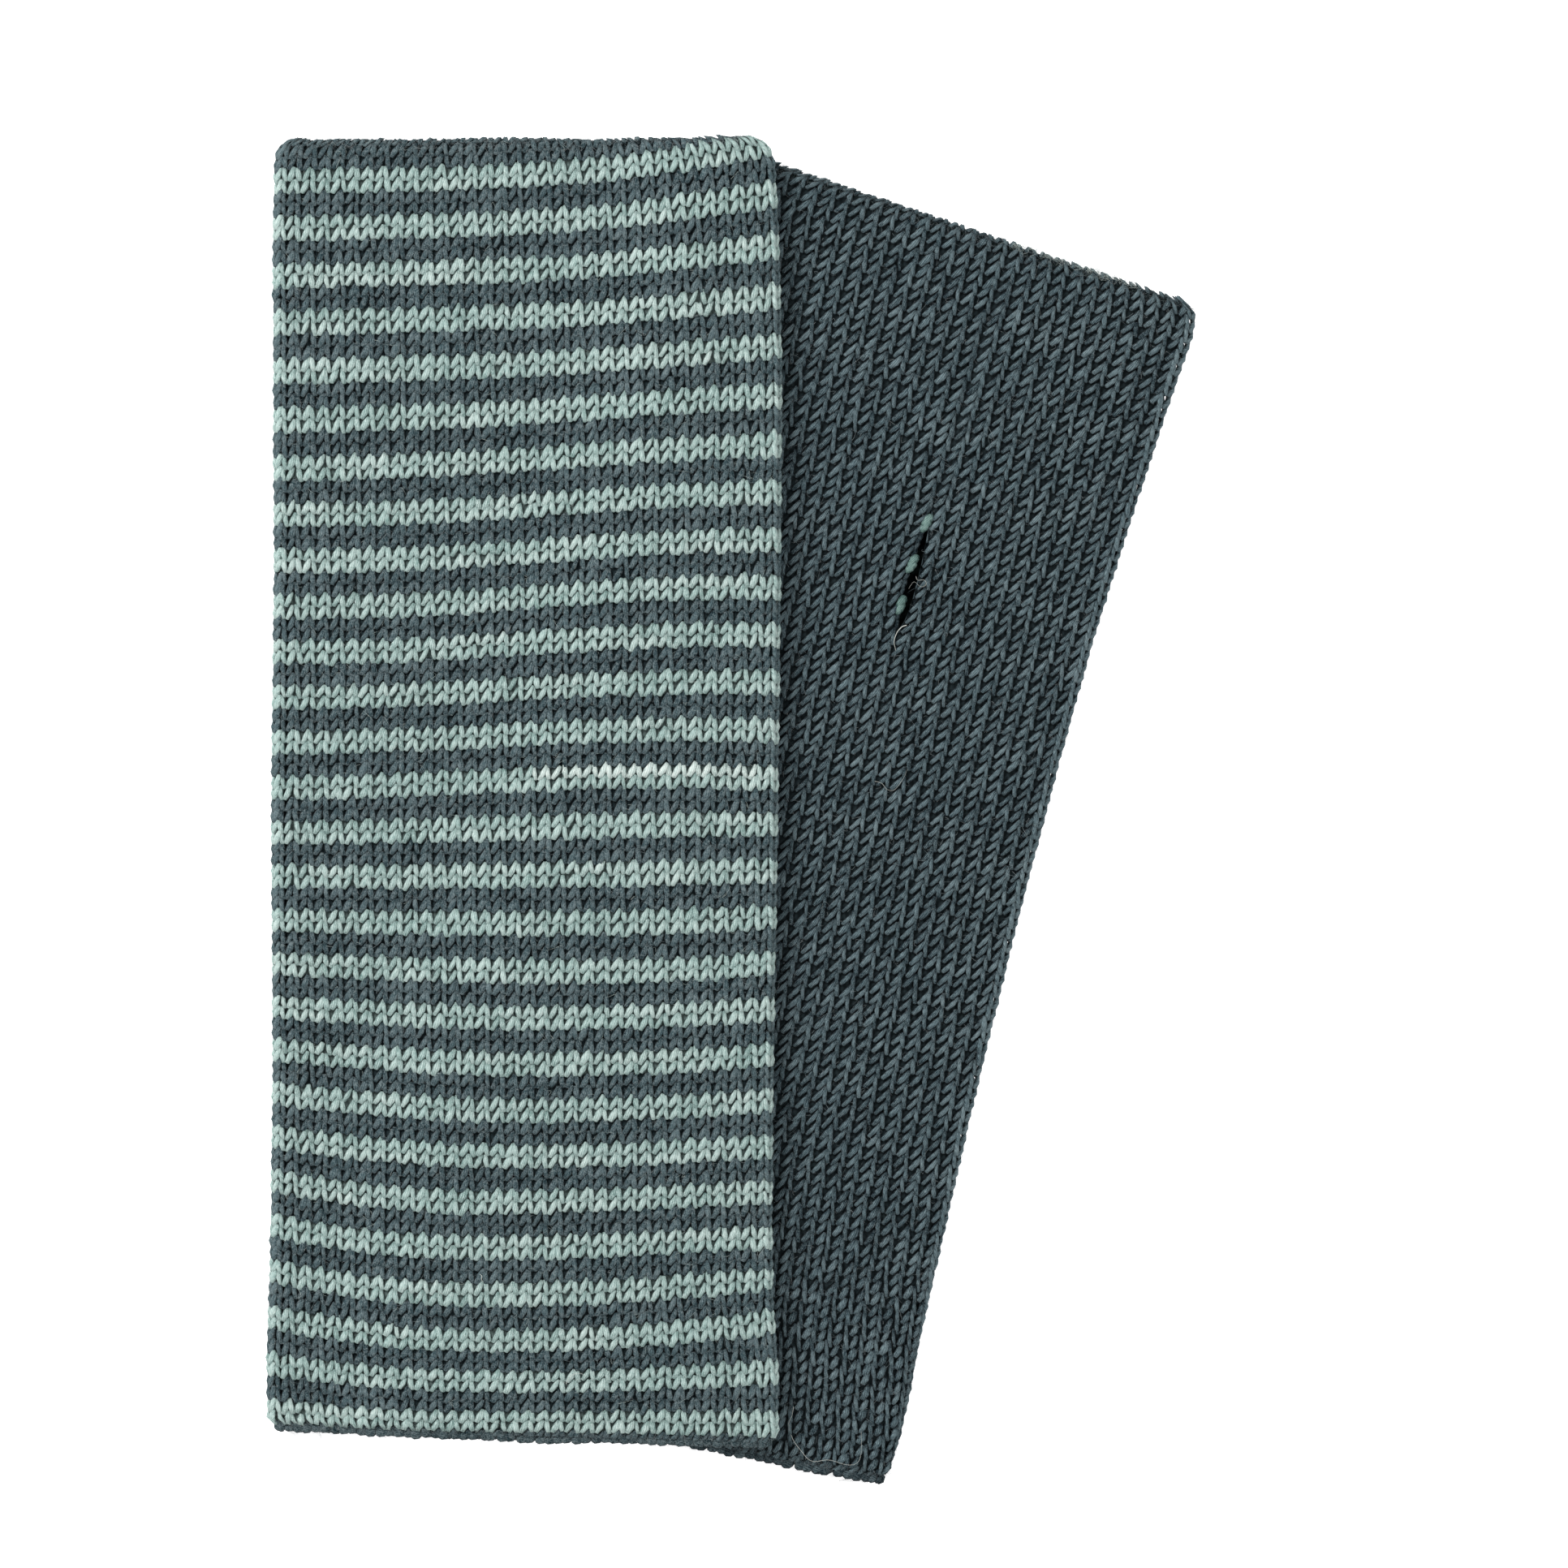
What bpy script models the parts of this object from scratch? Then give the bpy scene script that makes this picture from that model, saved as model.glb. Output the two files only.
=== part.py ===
"""Pair of knitted arm warmers, laid flat: a striped one on top of a plain one.

Each warmer is a doubled tube. A face tube and a lining tube lie one inside the other,
they are joined round both ends, and a slit through both lets the thumb out. The striped
warmer shows its striped side, and the plain one is turned to its plain side.

Every tube is a stack of flattened rings. A ring is read from a short table of sections,
and each layer is the same ring set in by the walls outside it. The striped warmer lies
on the table along its left side and climbs over the plain one.

Units are metres. +X is to the right, +Y up along the warmers, +Z up from the table.
"""
import math
from collections import namedtuple

import bpy

MM = 0.001

# Cloth and seams
WALL = 1.2 * MM             # one layer of knitted cloth
SEAM_GAP = 0.3 * MM         # clearance between two pieces
HOLLOW = 0.6 * MM           # what is left open inside a flattened warmer
LINING_INSET = WALL + SEAM_GAP
THICKNESS = 4 * WALL + 2 * SEAM_GAP + HOLLOW
FOLD_RADIUS = THICKNESS / 2
FOLD_STEPS = 4              # flats in each rounded side fold

# Cast-off rim that closes the lower end of both layers
RIM_RADIUS = 1.1 * MM
RIM_INSET = WALL + SEAM_GAP / 2
CLOTH_START = 2 * RIM_RADIUS + SEAM_GAP

# How the striped warmer climbs over the plain one
STACK_GAP = 0.4 * MM
LIFT = THICKNESS + STACK_GAP
CLIMB_LENGTH = 26 * MM      # run of the slope beside the plain warmer's left fold
OVERHANG = 5 * MM           # stays level this far past the plain warmer's ends
DROOP_LENGTH = 30 * MM      # and would come down to the table over this length

# Where each warmer lies: the middle of its lower edge, and its lean to the right
STRIPED_FOOT = (-40.58 * MM, -121.45 * MM)
STRIPED_LEAN = 0.0
PLAIN_FOOT = (-15.81 * MM, -121.71 * MM)
PLAIN_LEAN = math.radians(14.5)

# One row is one cross-section, in millimetres: its height above the lower edge, how far
# its left and right folds are from the axis, and how many degrees it rises to the right.
Section = namedtuple("Section", "up left right rise")
STRIPED_SECTIONS = (
    Section(up=0.0, left=-49.3, right=49.2, rise=-1.7),
    Section(up=14.6, left=-49.5, right=49.3, rise=-1.2),
    Section(up=27.6, left=-49.0, right=48.3, rise=-0.8),
    Section(up=45.6, left=-48.6, right=48.1, rise=-0.5),
    Section(up=75.6, left=-48.3, right=48.4, rise=0.0),
    Section(up=120.6, left=-48.6, right=49.2, rise=0.0),
    Section(up=168.6, left=-48.1, right=49.8, rise=0.0),
    Section(up=208.6, left=-48.2, right=50.0, rise=0.0),
    Section(up=232.6, left=-48.3, right=49.4, rise=0.0),
    Section(up=246.8, left=-48.0, right=48.6, rise=0.0),
    Section(up=251.6, left=-47.2, right=47.2, rise=0.0),
)
PLAIN_SECTIONS = (
    Section(up=0.0, left=-46.5, right=46.4, rise=3.6),
    Section(up=9.3, left=-47.2, right=46.9, rise=3.4),
    Section(up=31.3, left=-46.8, right=45.5, rise=2.8),
    Section(up=75.3, left=-46.2, right=44.1, rise=1.6),
    Section(up=111.3, left=-45.8, right=43.5, rise=0.6),
    Section(up=147.3, left=-45.8, right=43.6, rise=-0.6),
    Section(up=173.3, left=-46.2, right=44.1, rise=-1.6),
    Section(up=199.3, left=-46.8, right=45.4, rise=-2.7),
    Section(up=223.3, left=-47.4, right=47.0, rise=-3.6),
    Section(up=237.1, left=-47.5, right=48.1, rise=-4.1),
    Section(up=242.5, left=-46.5, right=47.5, rise=-4.2),
)

# A thumb slit: the panel it is in, its place across from the left fold, its two ends
# above the lower edge, and its width where it gapes most
Slit = namedtuple("Slit", "panel across low high gape")
PLAIN_SLIT = Slit(panel="upper", across=0.6, low=165.0 * MM, high=188.3 * MM, gape=2.3 * MM)
STRIPED_SLIT = Slit(panel="lower", across=0.4, low=176.1 * MM, high=199.4 * MM, gape=1.0 * MM)
SLIT_ROWS = 3               # stretches that a slit is divided into

# How finely each warmer is divided: columns across a panel, rows along its length
Mesh = namedtuple("Mesh", "columns rows")
STRIPED_MESH = Mesh(columns=20, rows=15)
PLAIN_MESH = Mesh(columns=10, rows=10)

# Colours of the two yarns
MINT = (0.36, 0.47, 0.45, 1.0)
SLATE = (0.062, 0.092, 0.103, 1.0)
STRIPES_FROM_AFAR = (0.19, 0.26, 0.26, 1.0)
WOOL_ROUGHNESS = 0.95


def ease(value):
    """Goes from 0 to 1 with level ends as value goes from 0 to 1."""
    value = min(max(value, 0.0), 1.0)
    return value * value * (3.0 - 2.0 * value)


def section_at(sections, up):
    """The cross-section at a height, in metres and radians, read between two rows."""
    height = up / MM
    pairs = list(zip(sections, sections[1:]))
    low, high = next((pair for pair in pairs if height <= pair[1].up), pairs[-1])
    share = (height - low.up) / (high.up - low.up)
    between = [a + (b - a) * share for a, b in zip(low, high)]
    return Section(up, between[1] * MM, between[2] * MM, math.radians(between[3]))


def to_world(x, y, foot, lean):
    """A point of a warmer's own plan, where it lies on the table."""
    return (foot[0] + x * math.cos(lean) + y * math.sin(lean),
            foot[1] - x * math.sin(lean) + y * math.cos(lean))


def to_warmer(x, y, foot, lean):
    """The reverse of to_world."""
    return to_world(x - foot[0], y - foot[1], (0.0, 0.0), -lean)


def flat_height(x, y):
    """The plain warmer lies on the table all over."""
    return 0.0


def draped_height(x, y):
    """Height of the striped warmer's underside over the table."""
    world = to_world(x, y, STRIPED_FOOT, STRIPED_LEAN)
    side, up = to_warmer(*world, PLAIN_FOOT, PLAIN_LEAN)
    length = PLAIN_SECTIONS[-1].up * MM
    section = section_at(PLAIN_SECTIONS, min(max(up, 0.0), length))
    inside = side - section.left
    past_end = max(-up, up - length, 0.0)
    climb = ease(1.0 + inside / CLIMB_LENGTH)
    droop = 1.0 - ease((past_end - OVERHANG) / DROOP_LENGTH)
    return LIFT * climb * droop


def ring(section, inset, columns, height):
    """Points round a flattened tube: upper panel left to right, fold, lower panel, fold."""
    left = section.left + FOLD_RADIUS
    right = section.right - FOLD_RADIUS
    radius = FOLD_RADIUS - inset
    outline = []
    for column in range(columns + 1):
        outline.append((left + (right - left) * column / columns, radius))
    for step in range(1, FOLD_STEPS):
        turn = math.pi * step / FOLD_STEPS
        outline.append((right + radius * math.sin(turn), radius * math.cos(turn)))
    for column in range(columns + 1):
        outline.append((right + (left - right) * column / columns, -radius))
    for step in range(1, FOLD_STEPS):
        turn = math.pi * step / FOLD_STEPS
        outline.append((left - radius * math.sin(turn), -radius * math.cos(turn)))
    points = []
    for across, above in outline:
        x = across * math.cos(section.rise)
        y = section.up + across * math.sin(section.rise)
        points.append((x, y, FOLD_RADIUS + above + height(x, y)))
    return points


def heights_along(start, end, rows, slit):
    """Row heights from end to end, with rows at the slit's ends and inside it."""
    even = [start + (end - start) * row / rows for row in range(rows + 1)]
    spacing = (end - start) / rows
    at_slit = [slit.low + (slit.high - slit.low) * row / SLIT_ROWS for row in range(SLIT_ROWS + 1)]
    clear = spacing / 3
    kept = [up for up in even if up < slit.low - clear or up > slit.high + clear]
    return sorted(kept + at_slit)


def slit_column(slit, columns):
    """The ring's point that the slit runs through."""
    column = round(slit.across * columns)
    if slit.panel == "upper":
        return column
    return columns + FOLD_STEPS + columns - column


def lip_shift(slit, up):
    """How far each lip stands off the slit's line at a height."""
    share = (up - slit.low) / (slit.high - slit.low)
    return slit.gape / 2 * math.sin(math.pi * share)


def tube_mesh(name, sections, inset, divisions, slit, height):
    """An open flattened tube: one surface, with the slit left open."""
    length = sections[-1].up * MM
    rows = heights_along(CLOTH_START, length, divisions.rows, slit)
    seam = slit_column(slit, divisions.columns)
    towards_next = 1.0 if slit.panel == "upper" else -1.0
    points = []
    before = []             # each row's points, as the faces before a point use them
    after = []              # and as the faces after it use them
    for up in rows:
        row_points = ring(section_at(sections, up), inset, divisions.columns, height)
        first = len(points)
        points.extend(row_points)
        before.append([first + place for place in range(len(row_points))])
        after.append(list(before[-1]))
        if slit.low < up < slit.high:
            shift = lip_shift(slit, up) * towards_next
            x, y, z = row_points[seam]
            points[before[-1][seam]] = (x - shift, y, z)
            after[-1][seam] = len(points)
            points.append((x + shift, y, z))
    faces = []
    for row in range(len(rows) - 1):
        count = len(before[row])
        for place in range(count):
            next_place = (place + 1) % count
            faces.append((after[row][place], before[row][next_place],
                          before[row + 1][next_place], after[row + 1][place]))
    mesh = bpy.data.meshes.new(name)
    mesh.from_pydata(points, [], faces)
    mesh.update()
    return mesh


def wool(name, colour):
    """A dull woollen finish in one colour."""
    material = bpy.data.materials.new(name)
    material.use_nodes = True
    shader = material.node_tree.nodes["Principled BSDF"]
    shader.inputs["Base Color"].default_value = colour
    shader.inputs["Roughness"].default_value = WOOL_ROUGHNESS
    shader.inputs["Metallic"].default_value = 0.0
    return material


def add_tube(name, collection, warmer, sections, inset, divisions, slit, height, colour):
    """One layer of cloth: the open tube, given the thickness of the knitting inwards."""
    mesh = tube_mesh(name, sections, inset, divisions, slit, height)
    mesh.shade_smooth()
    tube = bpy.data.objects.new(name, mesh)
    tube.parent = warmer
    mesh.materials.append(wool(name, colour))
    shell = tube.modifiers.new("cloth thickness", "SOLIDIFY")
    shell.thickness = WALL
    shell.offset = -1.0
    collection.objects.link(tube)
    return tube


def add_rim(name, collection, warmer, sections, columns, height, colour):
    """The cast-off edge round the lower mouth, over the ends of both layers."""
    curve = bpy.data.curves.new(name, "CURVE")
    curve.dimensions = "3D"
    curve.bevel_depth = RIM_RADIUS
    curve.bevel_resolution = 1
    points = ring(section_at(sections, RIM_RADIUS), RIM_INSET, columns, height)
    spline = curve.splines.new("POLY")
    spline.points.add(len(points) - 1)
    for place, point in zip(spline.points, points):
        place.co = (*point, 1.0)
    spline.use_cyclic_u = True
    rim = bpy.data.objects.new(name, curve)
    rim.parent = warmer
    curve.materials.append(wool(name, colour))
    collection.objects.link(rim)
    return rim


def add_warmer(name, collection, foot, lean):
    """The empty that carries one warmer's pieces to where it lies."""
    warmer = bpy.data.objects.new(name, None)
    warmer.location = (foot[0], foot[1], 0.0)
    warmer.rotation_euler = (0.0, 0.0, -lean)
    collection.objects.link(warmer)
    return warmer


def build_plain_warmer(collection):
    """The lower warmer, plain side out, with the striped layer inside."""
    warmer = add_warmer("plain_warmer", collection, PLAIN_FOOT, PLAIN_LEAN)
    add_tube("plain_warmer_face", collection, warmer, PLAIN_SECTIONS, 0.0,
             PLAIN_MESH, PLAIN_SLIT, flat_height, SLATE)
    add_tube("plain_warmer_lining", collection, warmer, PLAIN_SECTIONS, LINING_INSET,
             PLAIN_MESH, PLAIN_SLIT, flat_height, STRIPES_FROM_AFAR)
    add_rim("plain_warmer_rim", collection, warmer, PLAIN_SECTIONS,
            PLAIN_MESH.columns, flat_height, SLATE)


def build_striped_warmer(collection):
    """The upper warmer, striped side out, with the plain layer inside."""
    warmer = add_warmer("striped_warmer", collection, STRIPED_FOOT, STRIPED_LEAN)
    add_tube("striped_warmer_face", collection, warmer, STRIPED_SECTIONS, 0.0,
             STRIPED_MESH, STRIPED_SLIT, draped_height, STRIPES_FROM_AFAR)
    add_tube("striped_warmer_lining", collection, warmer, STRIPED_SECTIONS, LINING_INSET,
             STRIPED_MESH, STRIPED_SLIT, draped_height, SLATE)
    add_rim("striped_warmer_rim", collection, warmer, STRIPED_SECTIONS,
            STRIPED_MESH.columns, draped_height, SLATE)


def main():
    for leftover in list(bpy.data.objects):
        bpy.data.objects.remove(leftover, do_unlink=True)
    pair = bpy.data.collections.new("arm_warmers")
    bpy.context.scene.collection.children.link(pair)
    build_plain_warmer(pair)
    build_striped_warmer(pair)


main()
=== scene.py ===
# %% [markdown]
# # A pair of knitted arm warmers, stitch by stitch
#
# Each warmer is a doubled tube of wool. One layer is knitted in mint and slate stripes and the
# other in plain slate, and they are joined round both ends. The striped warmer shows its
# striped side and lies on top of the other one, which is turned to its plain side.
#
# The solids that hold the sizes are already made. This lesson loads them as a fixed frame, lays
# a thin cloth where each solid is, and then loops real yarn over that cloth.

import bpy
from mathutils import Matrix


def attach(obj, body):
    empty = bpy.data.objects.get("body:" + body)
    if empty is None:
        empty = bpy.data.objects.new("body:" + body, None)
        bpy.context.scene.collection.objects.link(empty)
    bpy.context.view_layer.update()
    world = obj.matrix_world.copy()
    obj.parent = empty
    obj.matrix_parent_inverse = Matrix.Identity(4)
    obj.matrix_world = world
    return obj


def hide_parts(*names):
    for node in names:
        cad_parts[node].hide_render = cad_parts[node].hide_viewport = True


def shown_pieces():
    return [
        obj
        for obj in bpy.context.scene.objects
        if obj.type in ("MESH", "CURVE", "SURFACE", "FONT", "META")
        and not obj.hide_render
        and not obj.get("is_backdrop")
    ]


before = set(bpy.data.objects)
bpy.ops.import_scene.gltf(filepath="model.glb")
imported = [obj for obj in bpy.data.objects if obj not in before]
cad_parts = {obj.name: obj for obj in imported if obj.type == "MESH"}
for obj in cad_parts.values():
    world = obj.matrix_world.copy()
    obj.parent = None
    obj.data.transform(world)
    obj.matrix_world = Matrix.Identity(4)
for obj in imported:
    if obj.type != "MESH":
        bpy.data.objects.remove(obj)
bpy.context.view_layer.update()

# %% Modules and units
import math
from collections import namedtuple

import bpy
import numpy as np
from mathutils import Vector

MM = 0.001
random = np.random.default_rng(34)

# %% [markdown]
# ## The shape of a flattened tube
#
# A warmer lying flat is a stack of flattened rings. A short table gives a ring now and then
# along the length, and everything between two rows is read off by interpolation. The same
# tables shaped the solids, so the cloth lands on them with nothing to fit.

# %% Layers of cloth, from the outside in
WALL = 1.2 * MM                       # one layer of knitting
SEAM_GAP = 0.3 * MM
HOLLOW = 0.6 * MM
THICKNESS = 4 * WALL + 2 * SEAM_GAP + HOLLOW
FOLD_RADIUS = THICKNESS / 2
LINING_DEPTH = WALL + SEAM_GAP        # where the inner layer starts
ROLL_RADIUS = WALL + SEAM_GAP / 2     # the face rolls over the ends with this radius
RIM_RADIUS = 1.1 * MM                 # cast-off edge at the lower end
YARN_SWELL = 0.5 * MM                 # how far the yarn of the folded edge swells past the cloth
print("a warmer is", round(THICKNESS / MM, 2), "mm thick")

# %% Rings along each warmer
# up: height above the lower edge. left, right: the side folds. rise: degrees up to the right.
Section = namedtuple("Section", "up left right rise")
STRIPED_SECTIONS = (
    Section(up=0.0, left=-49.3, right=49.2, rise=-1.7),
    Section(up=14.6, left=-49.5, right=49.3, rise=-1.2),
    Section(up=27.6, left=-49.0, right=48.3, rise=-0.8),
    Section(up=45.6, left=-48.6, right=48.1, rise=-0.5),
    Section(up=75.6, left=-48.3, right=48.4, rise=0.0),
    Section(up=120.6, left=-48.6, right=49.2, rise=0.0),
    Section(up=168.6, left=-48.1, right=49.8, rise=0.0),
    Section(up=208.6, left=-48.2, right=50.0, rise=0.0),
    Section(up=232.6, left=-48.3, right=49.4, rise=0.0),
    Section(up=246.8, left=-48.0, right=48.6, rise=0.0),
    Section(up=251.6, left=-47.2, right=47.2, rise=0.0),
)
PLAIN_SECTIONS = (
    Section(up=0.0, left=-46.5, right=46.4, rise=3.6),
    Section(up=9.3, left=-47.2, right=46.9, rise=3.4),
    Section(up=31.3, left=-46.8, right=45.5, rise=2.8),
    Section(up=75.3, left=-46.2, right=44.1, rise=1.6),
    Section(up=111.3, left=-45.8, right=43.5, rise=0.6),
    Section(up=147.3, left=-45.8, right=43.6, rise=-0.6),
    Section(up=173.3, left=-46.2, right=44.1, rise=-1.6),
    Section(up=199.3, left=-46.8, right=45.4, rise=-2.7),
    Section(up=223.3, left=-47.4, right=47.0, rise=-3.6),
    Section(up=237.1, left=-47.5, right=48.1, rise=-4.1),
    Section(up=242.5, left=-46.5, right=47.5, rise=-4.2),
)


CORNER = 2.6 * MM                     # the four corners of a warmer are softly rounded
LOWER_CORNER = 0.6 * MM               # the rounding starts this far above the lower edge
UPPER_CORNER = 0.4 * MM               # and ends this far past the upper one


def section_at(sections, up):
    """Left fold, right fold and rise of the rings at these heights."""
    heights = [row.up * MM for row in sections]
    left = np.interp(up, heights, [row.left * MM for row in sections])
    right = np.interp(up, heights, [row.right * MM for row in sections])
    rise = np.interp(up, heights, [math.radians(row.rise) for row in sections])
    from_end = np.minimum(up - heights[0] - LOWER_CORNER, heights[-1] + UPPER_CORNER - up)
    inside = CORNER - np.clip(from_end, 0.0, CORNER)
    pinch = CORNER - np.sqrt(CORNER ** 2 - inside ** 2)
    return left + pinch, right - pinch, rise


# %% Where the warmers lie
# foot: the middle of the lower edge. lean: how far the warmer is turned to the right.
# hem: the cloth's own lower edge, just above the cast-off. across and panel place the thumb
# slit, low and high are its ends, gape is its width.
Slit = namedtuple("Slit", "panel across low high gape")
Warmer = namedtuple("Warmer", "name sections foot lean climbs hem wales slit")
STRIPED = Warmer(
    name="striped_warmer", sections=STRIPED_SECTIONS, climbs=True, hem=0.7 * MM, wales=70,
    foot=(-40.58 * MM, -121.45 * MM), lean=0.0,
    slit=Slit(panel="lower", across=0.4, low=176.1 * MM, high=199.4 * MM, gape=1.0 * MM))
PLAIN = Warmer(
    name="plain_warmer", sections=PLAIN_SECTIONS, climbs=False, hem=0.9 * MM, wales=62,
    foot=(-15.81 * MM, -121.71 * MM), lean=math.radians(14.5),
    slit=Slit(panel="upper", across=0.6, low=164.6 * MM, high=188.6 * MM, gape=2.1 * MM))


def length_of(warmer):
    """From the lower edge to the folded upper edge."""
    return warmer.sections[-1].up * MM


def top_of(warmer):
    """Where the yarn of the folded edge ends: it swells a little past the cloth."""
    return length_of(warmer) + YARN_SWELL


def half_girth(warmer):
    """Across one panel and half of each side fold, measured at mid length."""
    left, right, _ = section_at(warmer.sections, length_of(warmer) / 2)
    return float(right - left) - 2 * FOLD_RADIUS + math.pi * FOLD_RADIUS


for warmer in (STRIPED, PLAIN):
    girth = 2 * half_girth(warmer)
    print(warmer.name, "length", round(length_of(warmer), 4), "girth", round(girth, 4))

# %% [markdown]
# ## Draping one warmer over the other
#
# The striped warmer lies on the table along its left side and climbs onto the plain one. Thick
# knitting doesn't bend sharply, so it starts to rise well before the hidden fold. A cloth
# simulation could find this slope, but a smooth step along one straight fold is exact and cheap.

# %% The climb
STACK_GAP = 0.4 * MM
LIFT = THICKNESS + STACK_GAP
CLIMB_LENGTH = 26 * MM
OVERHANG = 5 * MM
DROOP_LENGTH = 30 * MM


def ease(value):
    """From 0 to 1 with level ends, as value goes from 0 to 1."""
    value = np.clip(value, 0.0, 1.0)
    return value * value * (3.0 - 2.0 * value)


def to_world(warmer, x, y):
    """A point of the warmer's own plan, where it lies on the table."""
    cosine, sine = math.cos(warmer.lean), math.sin(warmer.lean)
    return (warmer.foot[0] + x * cosine + y * sine, warmer.foot[1] - x * sine + y * cosine)


def to_warmer(warmer, x, y):
    """The reverse of to_world."""
    cosine, sine = math.cos(warmer.lean), math.sin(warmer.lean)
    x, y = x - warmer.foot[0], y - warmer.foot[1]
    return x * cosine - y * sine, x * sine + y * cosine


def draped_height(x, y):
    """How far the striped warmer's underside is off the table."""
    side, up = to_warmer(PLAIN, *to_world(STRIPED, x, y))
    length = length_of(PLAIN)
    left, _, _ = section_at(PLAIN_SECTIONS, np.clip(up, 0.0, length))
    past_end = np.maximum(np.maximum(-up, up - length), 0.0)
    climb = ease(1.0 + (side - left) / CLIMB_LENGTH)
    droop = 1.0 - ease((past_end - OVERHANG) / DROOP_LENGTH)
    return LIFT * climb * droop


print("climb of", round(LIFT / MM, 1), "mm over", round(CLIMB_LENGTH / MM, 1), "mm")

# %% [markdown]
# ## Creases
#
# Even pressed flat, wool keeps a few soft ridges and hollows. They are placed one by one, each
# with its own length, width and height, and fade out at both ends.

# %% Soft ridges and hollows
# x, y: an end in the warmer's own plan. width: from the middle of the crease to its foot.
Crease = namedtuple("Crease", "x1 y1 x2 y2 width height")
CREASES = {
    "striped_warmer": (
        Crease(x1=-8, y1=6.6, x2=-10, y2=62.6, width=9, height=-0.5),
        Crease(x1=14, y1=2.6, x2=22, y2=40.6, width=8, height=0.35),
        Crease(x1=-34, y1=4.6, x2=-30, y2=34.6, width=8, height=0.3),
        Crease(x1=2, y1=96.6, x2=12, y2=168.6, width=10, height=0.25),
        Crease(x1=-26, y1=120.6, x2=-22, y2=190.6, width=9, height=-0.2),
        Crease(x1=30, y1=228.6, x2=44, y2=249.6, width=7, height=0.45),
        Crease(x1=-20, y1=238.6, x2=10, y2=249.6, width=7, height=-0.25),
    ),
    "plain_warmer": (
        Crease(x1=9.6, y1=186.3, x2=10.2, y2=244.3, width=2.0, height=-0.95),
        Crease(x1=13.2, y1=190.3, x2=14.0, y2=238.3, width=2.6, height=0.35),
        Crease(x1=8.4, y1=119.3, x2=8.2, y2=161.3, width=3.4, height=-0.4),
        Crease(x1=-14, y1=129.3, x2=-4, y2=159.3, width=4, height=0.55),
        Crease(x1=-19, y1=123.3, x2=-10, y2=153.3, width=3, height=-0.55),
        Crease(x1=28, y1=61.3, x2=33, y2=151.3, width=9, height=0.25),
        Crease(x1=2, y1=9.3, x2=6, y2=67.3, width=8, height=-0.25),
        Crease(x1=30, y1=197.3, x2=36, y2=235.3, width=7, height=0.3),
    ),
}
CREASE_FADE = 0.7                     # under 1, a crease keeps its height nearer its ends


def crease_height(warmer, x, y):
    """The height that all of a warmer's creases add at a point."""
    total = np.zeros(np.shape(x))
    for crease in CREASES[warmer.name]:
        run = np.array((crease.x2 - crease.x1, crease.y2 - crease.y1)) * MM
        from_x, from_y = x - crease.x1 * MM, y - crease.y1 * MM
        share = (from_x * run[0] + from_y * run[1]) / (run @ run)
        aside = (from_x * run[1] - from_y * run[0]) / np.linalg.norm(run)
        fade = np.sin(np.pi * np.clip(share, 0.0, 1.0)) ** CREASE_FADE
        total = total + crease.height * MM * fade * np.exp(-((aside / (crease.width * MM)) ** 2))
    return total


print("creases:", {name: len(rows) for name, rows in CREASES.items()})

# %% [markdown]
# ## One function puts anything on the knitting
#
# A point of a warmer has three coordinates: how far round it is, from the left fold over the
# top and back underneath, how far up, and how deep below the face. Past either end, the point
# rolls over the rim and into the mouth. Stitches, cloth, rims and loose hairs all use this.

# %% From cloth to space
LIP_FALL = 5.0 * MM                   # how far from the slit the cloth is pushed aside
LIP_RISE = 0.45 * MM
LIP_SPREAD = 2.4 * MM
SLIT_SKEW = 0.6                       # under 1, the slit gapes most below its middle


def slit_around(warmer):
    """The slit's place as a share of the girth."""
    left, right, _ = section_at(warmer.sections, (warmer.slit.low + warmer.slit.high) / 2)
    flat = float(right - left) - 2 * FOLD_RADIUS
    half = flat + math.pi * FOLD_RADIUS
    place = (math.pi * FOLD_RADIUS / 2 + flat * warmer.slit.across) / half / 2
    return place if warmer.slit.panel == "upper" else 1.0 - place


def roll_over(up, depth, low, high):
    """Turns what is past an end over the rim, as if round a rod inside the double wall."""
    past_high = np.maximum(up - (high - ROLL_RADIUS), 0.0)
    past_low = np.maximum(low + ROLL_RADIUS - up, 0.0)
    turn = np.minimum((past_high + past_low) / ROLL_RADIUS, math.pi)
    arm = ROLL_RADIUS - depth
    reach = arm * np.sin(turn)
    rolled = np.where(past_high > 0, high - ROLL_RADIUS + reach, low + ROLL_RADIUS - reach)
    inside = turn > 0
    return np.where(inside, rolled, up), np.where(inside, ROLL_RADIUS - arm * np.cos(turn), depth)


def on_ring(warmer, around, up, depth):
    """Where points lie on a flattened ring: across, above its middle, whether on the upper panel,
    the slit's place across, and the ring's rise."""
    left, right, rise = section_at(warmer.sections, up)
    flat = right - left - 2 * FOLD_RADIUS
    half = flat + math.pi * FOLD_RADIUS
    quarter = math.pi * FOLD_RADIUS / 2
    turn = np.mod(around, 1.0)
    upper = turn < 0.5
    # half way round: out of one fold, along the flat panel, into the other fold
    walk = np.where(upper, turn, turn - 0.5) * 2 * half
    leaving = np.clip(walk / FOLD_RADIUS, 0.0, math.pi / 2)
    along = np.clip(walk - quarter, 0.0, flat)
    arriving = np.clip((walk - quarter - flat) / FOLD_RADIUS, 0.0, math.pi / 2)
    radius = FOLD_RADIUS - depth
    side = left + FOLD_RADIUS - radius * np.cos(leaving) + along + radius * np.sin(arriving)
    side = np.where(upper, side, left + right - side)
    above = radius * np.sin(leaving) * np.cos(arriving) * np.where(upper, 1.0, -1.0)
    line = left + FOLD_RADIUS + flat * warmer.slit.across
    return side, above, upper, line, rise


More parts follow.
